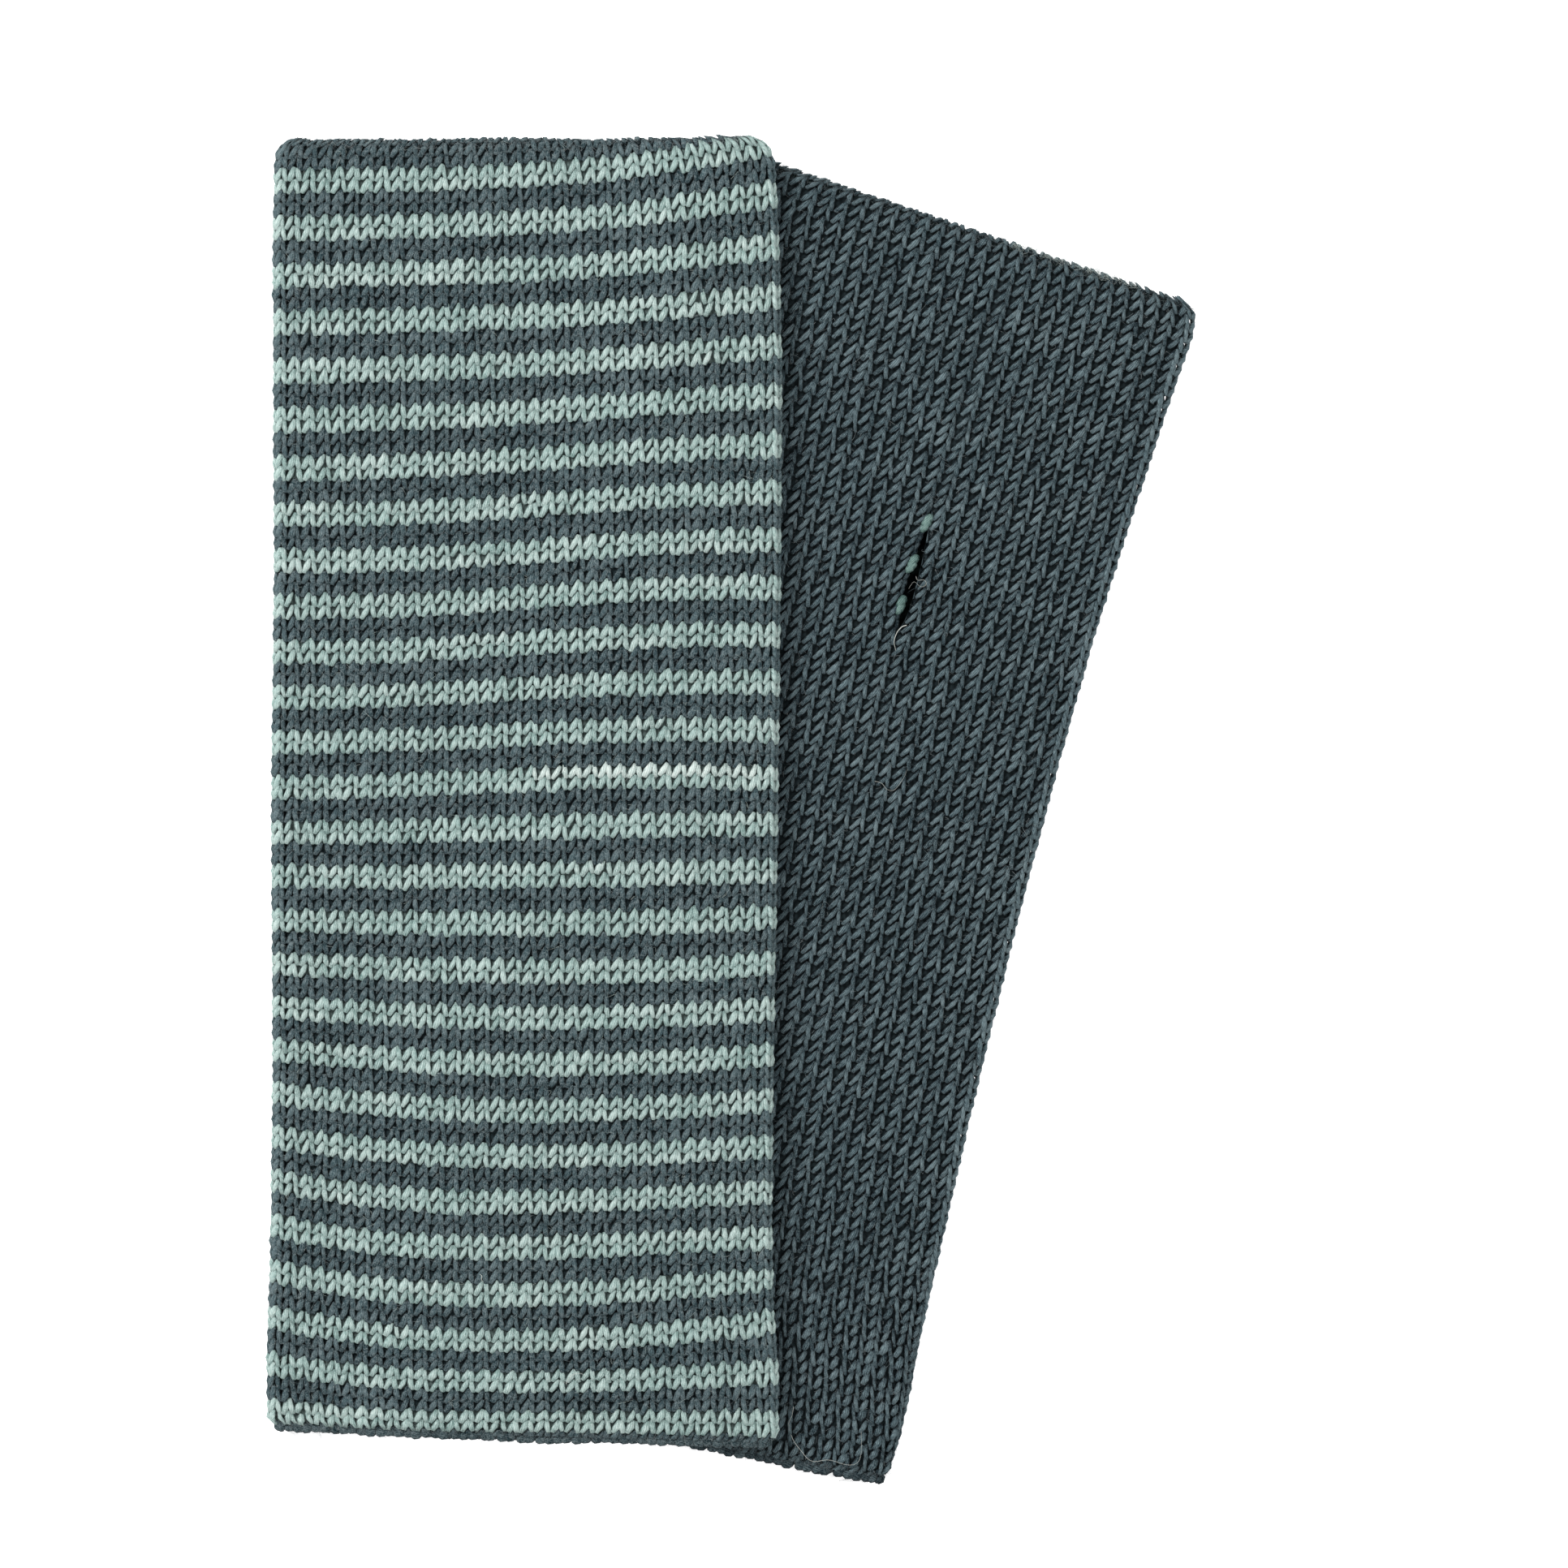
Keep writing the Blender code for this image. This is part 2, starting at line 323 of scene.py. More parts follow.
def open_slit(warmer, side, up, upper, line, lip):
    """Pushes the cloth beside the slit to both sides. Also gives how far its lips are lifted."""
    slit = warmer.slit
    panel = upper if slit.panel == "upper" else ~upper
    if lip is None:
        lip = np.where(side < line, -1.0, 1.0)
    share = np.clip((up - slit.low) / (slit.high - slit.low), 0.0, 1.0)
    opening = np.sin(np.pi * share ** SLIT_SKEW) * panel
    aside = np.abs(side - line)
    pushed = side + lip * slit.gape / 2 * opening * np.exp(-aside / LIP_FALL)
    return pushed, LIP_RISE * opening * np.exp(-((aside / LIP_SPREAD) ** 2))


def on_warmer(warmer, around, up, depth, lip=None):
    """World positions of points of the cloth. lip is -1 or 1, the side of the slit that a point
    belongs to, where that isn't plain from its place."""
    around, up, depth = np.broadcast_arrays(around, up, depth)
    up, depth = roll_over(up, depth, warmer.hem, top_of(warmer))
    side, above, upper, line, rise = on_ring(warmer, around, up, depth)
    side, lifted = open_slit(warmer, side, up, upper, line, lip)
    x, y = side * np.cos(rise), up + side * np.sin(rise)
    height = FOLD_RADIUS + above + lifted * np.sign(above)
    height = height + crease_height(warmer, x, y) * np.clip(above / FOLD_RADIUS, 0.0, 1.0)
    height = np.maximum(height, 0.0)
    if warmer.climbs:
        height = height + draped_height(x, y)
    return np.stack((*to_world(warmer, x, y), height), axis=-1)


print("slits at", round(slit_around(STRIPED), 3), "and", round(slit_around(PLAIN), 3), "of the girth")

# %% [markdown]
# ## Rows of knitting
#
# The stripes aren't straight. They rise to the right near the top, where the cloth climbs over
# the warmer below, and sag in the middle near the bottom. So the height of a mint stripe is
# given at five places across, for ten of the stripes, and a cubic is fitted through each row.

# %% Rows of the striped layer
ROWS_PER_STRIPE = 4                   # two mint rows and two slate rows
PLACES = np.array((-44.0, -22.0, 0.0, 22.0, 44.0)) * MM
Stripe = namedtuple("Stripe", "number left mid_left middle mid_right right")
STRIPES = (
    Stripe(number=0, left=243.8, mid_left=243.9, middle=245.2, mid_right=246.5, right=249.8),
    Stripe(number=3, left=216.4, mid_left=216.9, middle=217.6, mid_right=218.6, right=220.5),
    Stripe(number=6, left=188.0, mid_left=188.8, middle=189.5, mid_right=191.3, right=192.2),
    Stripe(number=9, left=161.3, mid_left=161.6, middle=163.1, mid_right=164.3, right=164.9),
    Stripe(number=13, left=126.2, mid_left=126.8, middle=127.9, mid_right=128.4, right=128.2),
    Stripe(number=17, left=91.8, mid_left=91.3, middle=90.5, mid_right=91.0, right=91.9),
    Stripe(number=20, left=66.5, mid_left=64.7, middle=63.8, mid_right=64.4, right=65.5),
    Stripe(number=23, left=40.5, mid_left=37.9, middle=37.4, mid_right=38.2, right=39.1),
    Stripe(number=25, left=22.6, mid_left=20.4, middle=18.8, mid_right=20.7, right=22.6),
    Stripe(number=27, left=5.0, mid_left=4.1, middle=3.8, mid_right=3.8, right=3.5),
)
stripe_curves = np.array([np.polyfit(PLACES, np.array(row[1:]) * MM, 3) for row in STRIPES])
stripe_numbers = np.array([row.number for row in STRIPES], dtype=float)
# one more stripe past each end carries the rows over the rims
first_step = (stripe_curves[1] - stripe_curves[0]) / (stripe_numbers[1] - stripe_numbers[0])
last_step = (stripe_curves[-1] - stripe_curves[-2]) / (stripe_numbers[-1] - stripe_numbers[-2])
PAST_END = 3.0
stripe_curves = np.vstack((stripe_curves[0] - PAST_END * first_step, stripe_curves,
                           stripe_curves[-1] + PAST_END * last_step))
stripe_numbers = np.concatenate(([-PAST_END], stripe_numbers, [stripe_numbers[-1] + PAST_END]))


def striped_row_height(row, around):
    """Height of a row of stitches. Rows count down from the middle of the first mint stripe."""
    stripe = row / ROWS_PER_STRIPE
    curve = [np.interp(stripe, stripe_numbers, stripe_curves[:, power]) for power in range(4)]
    reach = half_girth(STRIPED) / 2

    def height_at(place):
        """The row's height on the upper panel, this far to the right of its middle."""
        height = ((curve[0] * place + curve[1]) * place + curve[2]) * place + curve[3]
        _, _, rise = section_at(STRIPED.sections, height)
        return height - place * np.sin(rise)

    turn = np.mod(around, 1.0)
    over = height_at((4 * turn - 1) * reach)
    share = 2 * turn - 1
    under = height_at(reach) * (1 - share) + height_at(-reach) * share
    return np.where(turn < 0.5, over, under)


step = float(striped_row_height(40.0, 0.25) - striped_row_height(41.0, 0.25))
print("row height about", round(step / MM, 2), "mm")

# %% Rows of the plain layer
PLAIN_ROW = 2.31 * MM


def plain_row_height(row, around):
    """The plain rows are even, and follow the rings. The place round only gives the result its
    shape."""
    return length_of(PLAIN) - row * PLAIN_ROW + 0.0 * around


WALE_DRIFT = 5.5 * MM                 # the wales slide to the right towards the lower edge
DRIFT_HEIGHT = 75.0 * MM


def wale_drift(warmer, up):
    """Knitting made in the round spirals a little, which shows on the plain warmer."""
    if warmer.climbs:
        return 0.0 * up
    share = np.clip(1.0 - up / DRIFT_HEIGHT, 0.0, 1.1)
    return WALE_DRIFT * share ** 2 / (2 * half_girth(warmer))


ROW_HEIGHT = {"striped_warmer": striped_row_height, "plain_warmer": plain_row_height}
LAST_ROW = {"striped_warmer": 114, "plain_warmer": 107}
FIRST_ROW = {"striped_warmer": -7, "plain_warmer": -3}
print("rows:", {name: LAST_ROW[name] - FIRST_ROW[name] for name in LAST_ROW})

# %% [markdown]
# ## From arrays to a mesh
#
# Thousands of stitches as separate objects would be slow, and instances don't export. One
# stitch is computed for all places at once with numpy, and the result is one joined mesh. Each
# point also carries the yarn's own coordinates, so that a material can draw its twist and tone.

# %% A mesh with named values on its points
def add_mesh(name, points, faces, values):
    """A smooth object from points and faces, with named numbers or vectors on its points."""
    mesh = bpy.data.meshes.new(name)
    mesh.from_pydata(np.asarray(points).reshape(-1, 3), [], faces)
    for value_name, numbers in values.items():
        numbers = np.asarray(numbers, dtype=np.float32)
        kind = "FLOAT_VECTOR" if numbers.ndim > 1 else "FLOAT"
        attribute = mesh.attributes.new(value_name, kind, "POINT")
        attribute.data.foreach_set("vector" if numbers.ndim > 1 else "value", numbers.ravel())
    mesh.shade_smooth()
    piece = bpy.data.objects.new(name, mesh)
    bpy.context.scene.collection.objects.link(piece)
    return piece


def triangles_in(piece):
    """How many triangles a piece's own mesh makes."""
    return sum(len(face.vertices) - 2 for face in piece.data.polygons)


# %% [markdown]
# ## Materials: wool yarn
#
# Wool is dull, but its fibres catch light at grazing angles, which is what sheen is for. The
# colour isn't even: fibres run along the yarn in a twist, and the dye takes unevenly over the
# length. Noise stretched along the twisted yarn gives the first, and a tone value worked out
# from each stitch's place along its row gives the second. On top of both, painted shade darkens
# the sides of each leg and the crevices between the stitches.

# %% Helpers for building a material
def add_node(tree, kind, **settings):
    """A node with its settings. A setting that names an input fills it or links to it."""
    node = tree.nodes.new(kind)
    for key, value in settings.items():
        name = key.replace("_", " ")
        socket = node.inputs.get(name) or node.inputs.get(name.title())
        if socket is None:
            setattr(node, key, value)
        elif isinstance(value, bpy.types.NodeSocket):
            tree.links.new(value, socket)
        else:
            socket.default_value = value
    return node


def calculate(tree, operation, first, second=0.0, clamp=False):
    """A Math node on sockets or numbers."""
    node = tree.nodes.new("ShaderNodeMath")
    node.operation = operation
    node.use_clamp = clamp
    for socket, value in zip(node.inputs, (first, second)):
        if isinstance(value, bpy.types.NodeSocket):
            tree.links.new(value, socket)
        else:
            socket.default_value = value
    return node.outputs[0]


def blend_colours(tree, share, first, second, kind="MIX"):
    """A colour Mix node on sockets, numbers or colours."""
    node = tree.nodes.new("ShaderNodeMix")
    node.data_type = "RGBA"
    node.blend_type = kind
    for socket, value in zip((node.inputs[0], node.inputs[6], node.inputs[7]), (share, first, second)):
        if isinstance(value, bpy.types.NodeSocket):
            tree.links.new(value, socket)
        else:
            socket.default_value = value
    return node.outputs[2]


def read_value(tree, name, output="Fac"):
    """What a mesh's points carry under a name."""
    return add_node(tree, "ShaderNodeAttribute", attribute_name=name).outputs[output]


def new_wool(name, roughness=0.95, sheen=0.0, shine=0.03):
    """An empty wool material: its tree and its shader."""
    material = bpy.data.materials.new(name)
    material.use_nodes = True
    tree = material.node_tree
    shader = tree.nodes["Principled BSDF"]
    shader.inputs["Roughness"].default_value = roughness
    shader.inputs["Sheen Weight"].default_value = sheen
    shader.inputs["Sheen Roughness"].default_value = 0.45
    shader.inputs["Specular IOR Level"].default_value = shine
    return material, tree, shader


# %% Yarn colours
# The first colour is painted shade, for the crevices between the stitches. deep: between fibres.
# body: the yarn. pale: its lightest stretches. fuzz: the loose fibres that lie over it.
Shades = namedtuple("Shades", "crevice deep body pale fuzz")
MINT = Shades(
    crevice=(0.032, 0.078, 0.072, 1), deep=(0.125, 0.210, 0.195, 1), body=(0.385, 0.482, 0.460, 1),
    pale=(0.590, 0.625, 0.592, 1), fuzz=(0.480, 0.560, 0.530, 1))
# mint in painted shade, for the lining where it shows in the slit and inside the plain warmer
SHADED_MINT = Shades(
    crevice=(0.015, 0.040, 0.036, 1), deep=(0.050, 0.100, 0.092, 1), body=(0.200, 0.300, 0.275, 1),
    pale=(0.330, 0.430, 0.395, 1), fuzz=(0.200, 0.275, 0.260, 1))
SLATE = Shades(
    crevice=(0.003, 0.010, 0.013, 1), deep=(0.014, 0.029, 0.036, 1), body=(0.078, 0.118, 0.128, 1),
    pale=(0.155, 0.192, 0.200, 1), fuzz=(0.190, 0.230, 0.238, 1))
PLAIN_SLATE = Shades(
    crevice=(0.001, 0.005, 0.008, 1), deep=(0.010, 0.023, 0.031, 1), body=(0.128, 0.180, 0.196, 1),
    pale=(0.250, 0.305, 0.316, 1), fuzz=(0.190, 0.235, 0.250, 1))


def minus_half(tree, value):
    """A noise brought to swing about nought."""
    return calculate(tree, "SUBTRACT", value, 0.5)


def loose_fibres(tree, scale, offset, thinness):
    """Thin curved lines all over, like single fibres: where a noise crosses its middle value."""
    place = add_node(tree, "ShaderNodeTexCoord").outputs["Object"]
    moved = add_node(tree, "ShaderNodeVectorMath", operation="ADD").outputs[0]
    tree.links.new(place, moved.node.inputs[0])
    moved.node.inputs[1].default_value = (offset, 2 * offset, 0.0)
    noise = add_node(tree, "ShaderNodeTexNoise", Vector=moved, Scale=scale, Detail=1.5, Distortion=1.4)
    away = calculate(tree, "ABSOLUTE", minus_half(tree, noise.outputs["Fac"]))
    return calculate(tree, "SUBTRACT", 1.0, calculate(tree, "MULTIPLY", away, thinness), clamp=True)


TWIST = 0.8                           # turns of the yarn over one leg
PLIES = 3                             # single threads twisted into the yarn
FIBRE_RUN, FIBRE_CLOSENESS = 3.4, 17.0  # how often a fibre changes along the yarn and round it
UNEVEN_LIGHT = 1.5                    # how far blotches shift the height that a leg catches light at
UNEVEN_LEGS = 0.18                    # and how far chance shifts it from leg to leg
GROOVE_SHADE = 0.34                   # how much darker it is between two threads


def twisted_threads(tree):
    """Reads the yarn's own coordinates, and draws from them the grooves between the threads and
    the fibres that run along them. Also gives each leg's own chance number."""
    parts = add_node(tree, "ShaderNodeSeparateXYZ", Vector=read_value(tree, "yarn", "Vector"))
    along, around, chance = parts.outputs
    twist = calculate(tree, "ADD", calculate(tree, "MULTIPLY", along, TWIST), around)
    turn = calculate(tree, "MULTIPLY", twist, math.pi * PLIES)
    threads = calculate(tree, "ABSOLUTE", calculate(tree, "SINE", turn))
    groove = calculate(tree, "POWER", calculate(tree, "SUBTRACT", 1.0, threads), 2.0)
    place = add_node(tree, "ShaderNodeCombineXYZ",
                     X=calculate(tree, "MULTIPLY", along, FIBRE_RUN),
                     Y=calculate(tree, "MULTIPLY", twist, FIBRE_CLOSENESS),
                     Z=calculate(tree, "MULTIPLY", chance, 57.0))
    fibres = add_node(tree, "ShaderNodeTexNoise", Vector=place.outputs[0], Scale=1.0, Detail=4.0,
                      Roughness=0.68).outputs["Fac"]
    return groove, fibres, chance


def light_on_leg(tree, groove, chance, sunk, proud):
    """How much light a point of a leg gets. The sides of a leg sink between its neighbours and
    lose the light, unevenly."""
    blotch = add_node(tree, "ShaderNodeTexNoise", Scale=520.0, Detail=3.0, Roughness=0.7).outputs["Fac"]
    shift = calculate(tree, "MULTIPLY", minus_half(tree, blotch), UNEVEN_LIGHT)
    height = calculate(tree, "ADD", read_value(tree, "height"), shift)
    luck = calculate(tree, "MULTIPLY", minus_half(tree, chance), UNEVEN_LEGS)
    height = calculate(tree, "ADD", height, luck)
    height = calculate(tree, "SUBTRACT", height, calculate(tree, "MULTIPLY", groove, GROOVE_SHADE))
    return add_node(tree, "ShaderNodeMapRange", Value=height, From_Min=sunk, From_Max=proud).outputs[0]


def yarn_material(name, shades, sheen, fuzz, sunk, proud):
    """Twisted wool yarn: fibres, twist, painted shade in the crevices, and a tone that wanders
    along the row. sunk and proud are the heights on a leg where the painted shade is full and
    where it is gone."""
    material, tree, shader = new_wool(name, sheen=sheen)
    groove, fibres, chance = twisted_threads(tree)
    fibre_share = calculate(tree, "MULTIPLY_ADD", fibres, 5.0, clamp=True)
    fibre_share.node.inputs[2].default_value = -2.0
    colour = blend_colours(tree, fibre_share, shades.deep, shades.body)
    paler = blend_colours(tree, fibre_share, shades.body, shades.pale)
    colour = blend_colours(tree, read_value(tree, "tone"), colour, paler)
    lit = light_on_leg(tree, groove, chance, sunk, proud)
    # painted shade: where a leg sinks between its neighbours, its colour gives way to the darkest one
    colour = blend_colours(tree, lit, shades.crevice, colour)
    # loose fibres lie over everything, long ones and short ones
    threads = calculate(tree, "MAXIMUM", loose_fibres(tree, 620.0, 0.0, 30.0),
                        loose_fibres(tree, 1150.0, 0.4, 22.0))
    colour = blend_colours(tree, calculate(tree, "MULTIPLY", threads, fuzz), colour, shades.fuzz)
    tree.links.new(colour, shader.inputs["Base Color"])
    relief = calculate(tree, "ADD", calculate(tree, "MULTIPLY", threads, 0.25), fibres)
    relief = calculate(tree, "SUBTRACT", relief, calculate(tree, "MULTIPLY", groove, 0.8))
    bump = add_node(tree, "ShaderNodeBump", Height=relief, Strength=0.7, Distance=0.14 * MM)
    tree.links.new(bump.outputs[0], shader.inputs["Normal"])
    return material


mint_yarn = yarn_material("mint_wool_yarn", MINT, sheen=0.05, fuzz=0.20, sunk=0.20, proud=0.86)
shaded_mint_yarn = yarn_material("shaded_mint_wool_yarn", SHADED_MINT, sheen=0.0, fuzz=0.20,
                                 sunk=0.10, proud=0.70)
slate_yarn = yarn_material("slate_wool_yarn", SLATE, sheen=0.02, fuzz=0.48, sunk=0.36, proud=0.96)
plain_yarn = yarn_material("plain_slate_wool_yarn", PLAIN_SLATE, sheen=0.02, fuzz=0.18,
                           sunk=0.45, proud=0.95)
print("yarns:", mint_yarn.name, slate_yarn.name, plain_yarn.name)

# %% [markdown]
# ## The stitches
#
# A knitted stitch shows as a V: two legs of yarn that rise out of the row below, swell, and dive
# behind the row above. These yarns are spun hard one way, so the cloth is skewed: the right leg
# leans over and is a little fatter, and the left leg is steep. Towards the side folds the V gets
# more even. One leg is a short sausage, closed at its tips.

# %% The leg of a stitch
# foot: where both legs start, across the stitch. top, width and rows: for a leg, where it ends
# across the stitch, half its width in mm and how many rows it crosses.
StitchShape = namedtuple(
    "StitchShape", "foot left_top left_width left_rows right_top right_width right_rows")
STRIPED_STITCH = StitchShape(foot=0.37, left_top=0.13, left_width=0.66, left_rows=1.36,
                             right_top=1.02, right_width=0.72, right_rows=1.34)
EVEN_STITCH = StitchShape(foot=0.49, left_top=0.13, left_width=0.66, left_rows=1.40,
                          right_top=0.89, right_width=0.69, right_rows=1.40)
PLAIN_STITCH = StitchShape(foot=0.32, left_top=0.03, left_width=0.54, left_rows=1.45,
                           right_top=1.06, right_width=0.60, right_rows=1.42)
KNOTTED_STITCH = StitchShape(foot=0.38, left_top=0.10, left_width=0.50, left_rows=1.60,
                             right_top=0.84, right_width=0.72, right_rows=1.20)
LEFT_TOP_DEPTH = 0.38 * MM            # depth of a leg's middle at its highest
RIGHT_TOP_DEPTH = 0.32 * MM
FOOT_DEPTH = 0.55 * MM                # where it comes out of the row below
HEAD_DEPTH = 0.82 * MM                # where it dives behind the row above
LEG_HEIGHT = 0.52 * MM                # half its thickness at its fattest
FOLD_SWELL = 0.35 * MM                # stitches on a side fold spread outwards
# points this deep are in full painted shade; heights run from PROUD above the face down to here
CREVICE_DEPTH = 1.00 * MM
PROUD = 0.18 * MM                     # heights are measured from this far above the face
LegDetail = namedtuple("LegDetail", "rings fatness sides")
FINE = LegDetail(rings=(0.06, 0.48, 0.93), fatness=(0.86, 1.0, 0.80), sides=5)
COARSE = LegDetail(rings=(0.5,), fatness=(1.1,), sides=4)


def leg_faces(count, detail):
    """Faces of many closed spindles: a fan at each tip and bands between the rings."""
    sides, rings = detail.sides, len(detail.rings)
    here = np.arange(sides)
    there = (here + 1) % sides
    top_tip = 1 + rings * sides
    fans = [(0, 1 + b, 1 + a) for a, b in zip(here, there)]
    last = 1 + (rings - 1) * sides
    fans += [(top_tip, last + a, last + b) for a, b in zip(here, there)]
    bands = []
    for ring in range(rings - 1):
        base = 1 + ring * sides
        bands += [(base + a, base + b, base + sides + b, base + sides + a) for a, b in zip(here, there)]
    shift = (np.arange(count) * (top_tip + 1))[:, None, None]
    return ((np.array(fans) + shift).reshape(-1, 3).tolist()
            + (np.array(bands) + shift).reshape(-1, 4).tolist())


def leg_template(detail):
    """For each point of one leg: its share along, its angle round, and how fat the leg is there."""
    shares, angles, fatness = [0.0], [0.0], [0.0]
    for share, fat in zip(detail.rings, detail.fatness):
        for step in range(detail.sides):
            shares.append(share)
            angles.append(math.pi / 2 + 2 * math.pi * (step + 0.5) / detail.sides)
            fatness.append(fat)
    return (np.array(shares + [1.0]), np.array(angles + [0.0]), np.array(fatness + [0.0]))


def leg_values(share, angle, chance, tone, height, side=1):
    """What a material reads from the points of many legs: the yarn's own coordinates, its dye
    and a height that the material turns into painted shade."""
    shape = (len(chance), len(share))
    yarn = np.stack((np.broadcast_to(share, shape) + chance,
                     np.broadcast_to(side * angle / (2 * math.pi), shape),
                     np.broadcast_to(chance, shape)), axis=-1)
    return {"yarn": yarn.reshape(-1, 3), "tone": np.broadcast_to(tone, shape).ravel(),
            "height": np.broadcast_to(height, shape).ravel()}


# %% Uneven dye
TONE_STEP = 3                         # stitches from one change of the dye to the next
TONE_ROWS, TONE_START = 140, 12       # more rows than a warmer has, and how many come before row 0
STRIPED_TONE, PLAIN_TONE = 0.40, 0.32
PALE_ROW, PALE_FROM, PALE_TO = 51, 17.0, 32.5   # one mint row turns cream over half its width


def yarn_tone(row, stitch, wales):
    """Uneven dye: a value that wanders along the yarn as it goes round and round."""
    knots = np.arange(0, TONE_ROWS * wales // TONE_STEP)
    levels = random.random(len(knots)) ** 2.2
    return np.interp((row + TONE_START) * wales / TONE_STEP + stitch / TONE_STEP, knots, levels)


def stitch_tone(warmer, rows, stitches):
    """How pale the yarn of each stitch is, from 0 to 1."""
    tone = yarn_tone(rows, stitches, warmer.wales)
    if not warmer.climbs:
        return PLAIN_TONE * tone
    pale = (rows == PALE_ROW) & (stitches > PALE_FROM) & (stitches < PALE_TO)
    return np.where(pale, 0.75 + 0.25 * tone, STRIPED_TONE * tone)


# %% Where the V is even
EVEN_BELOW = {"striped_warmer": 42.0 * MM, "plain_warmer": 62.0 * MM}


def from_middle(around):
    """0 in the middle of a panel, 1 at a side fold."""
    return np.abs(np.mod(2 * around, 1.0) - 0.5) * 2


def evenness(warmer, around, up):
    """How even the V of a stitch is, 0 to 1: more so at the side folds and low down."""
    to_fold = from_middle(around)
    low_down = np.clip(1.0 - up / EVEN_BELOW[warmer.name], 0.0, 1.0)
    if not warmer.climbs:
        return np.clip(low_down * 1.6, 0.0, 0.9)
    at_fold = np.clip((to_fold - 0.62) * 1.5, 0.0, 0.65)
    return at_fold + 0.7 * low_down * np.clip((to_fold - 0.25) * 2, 0.0, 1.0)


# %% Stitches beside the slit
BESIDE_SLIT = 2.0                     # wales: closer ones are stopped at the slit's line


def slit_stops(warmer, around, up):
    """The lip that each stitch is on, and where a stitch beside the slit has to stop."""
    slit, line = warmer.slit, slit_around(warmer)
    from_line = np.mod(around + wale_drift(warmer, up), 1.0) - line
    before = from_line < 0
    lip = np.where(before == (slit.panel == "upper"), -1.0, 1.0)[:, None]
    beside = (np.abs(from_line) < BESIDE_SLIT / warmer.wales) & (up > slit.low) & (up < slit.high)
    stop_after = np.where(beside & before, line, np.inf)[:, None]
    stop_before = np.where(beside & ~before, line, -np.inf)[:, None]
    return lip, stop_before, stop_after


# %% Many stitches as one mesh
FEET_APART = 0.085                    # half the gap between the two feet, in wales
LEG_BOW = 0.05                        # how far a leg bows outwards, in wales
# how unevenly the stitches are made: the spread of each of their measures
UNEVEN_SHAPE = 0.10
UNEVEN_PLACE = 0.055                  # in rows and wales
UNEVEN_RUN = 0.07
UNEVEN_WIDTH = 0.10
UNEVEN_HEIGHT = 0.08 * MM
UNEVEN_DYE = 0.12


def between_shapes(shape, even_shape, even):
    """The V of each stitch, somewhere between two shapes."""
    even = even[:, None]
    mixed = np.array(shape)[None, :] * (1 - even) + np.array(even_shape)[None, :] * even
    return StitchShape(*mixed.T[:, :, None])


def leg_depth(share, angle, fatness, highest, lift):
    """How deep the points of legs are. A leg comes up out of the row below, and dives behind the
    row above."""
    bulge = np.sin(math.pi * share) ** 0.6
    ends = FOOT_DEPTH + (HEAD_DEPTH - FOOT_DEPTH) * share
    return ends + (highest - ends) * bulge - LEG_HEIGHT * fatness * np.sin(angle) + lift * bulge


def knit(name, warmer, shape, even_shape, rows, stitches, detail):
    """Legs of stitches as one mesh. rows and stitches are arrays of equal length."""
    count = len(rows)
    share, angle, fatness = leg_template(detail)
    girth = 2 * half_girth(warmer)
    wale_width = girth / warmer.wales
    tone = stitch_tone(warmer, rows, stitches)
    middle = (stitches + 0.5) / warmer.wales
    row_up = ROW_HEIGHT[warmer.name](rows + 0.5, middle)
    even = evenness(warmer, middle, row_up) + random.normal(0.0, UNEVEN_SHAPE, count)
    mixed = between_shapes(shape, even_shape, even)
    lip, stop_before, stop_after = slit_stops(warmer, middle, row_up)
    swell = FOLD_SWELL * ease((from_middle(middle) - 0.90) / 0.08)[:, None]
    shove = random.normal(0.0, UNEVEN_PLACE, (2, count))
    points, values = [], []
    legs = ((-1, mixed.left_top, mixed.left_width, mixed.left_rows, LEFT_TOP_DEPTH),
            (1, mixed.right_top, mixed.right_width, mixed.right_rows, RIGHT_TOP_DEPTH))
    for side, top, width, crossed, highest in legs:
        run = crossed * random.normal(1.0, UNEVEN_RUN, (count, 1))
        lift = random.normal(0.0, 1.0, (count, 1)) * UNEVEN_HEIGHT
        fat = width * MM * random.normal(1.0, UNEVEN_WIDTH, (count, 1))
        chance = random.random((count, 1))
        # the leg's middle line over the cloth, in wales and rows, and then its round section
        foot = mixed.foot + FEET_APART * side
        bow = LEG_BOW * side * np.sin(math.pi * share)
        centre = stitches[:, None] + foot + (top - foot) * share + bow + shove[0][:, None]
        row = rows[:, None] + 0.5 + (0.5 - share) * run + shove[1][:, None]
        across = fat * fatness * np.cos(angle)
        slope = np.arctan2((top - foot) * wale_width, run * PLAIN_ROW)
        around = (centre * wale_width + across * np.cos(slope)) / girth
        up = ROW_HEIGHT[warmer.name](row, around) - across * np.sin(slope)
        depth = leg_depth(share, angle, fatness, highest, lift) - swell
        around = np.clip(around + wale_drift(warmer, up), stop_before, stop_after)
        points.append(on_warmer(warmer, around, up, depth, lip))
        # how near the face each point is, which the material turns into painted shade
        height = 1.0 - (depth + PROUD) / (CREVICE_DEPTH + PROUD)
        dye = tone[:, None] + UNEVEN_DYE * (chance - 0.5)
        values.append(leg_values(share, angle, chance, dye, height, side))
    together = {key: np.concatenate([part[key] for part in values]) for key in values[0]}
    return add_mesh(name, np.concatenate(points), leg_faces(2 * count, detail), together)


# %% Which stitches go where
ROLL_LIMIT = 2.3                      # radians over a rim, where the last row of stitches is


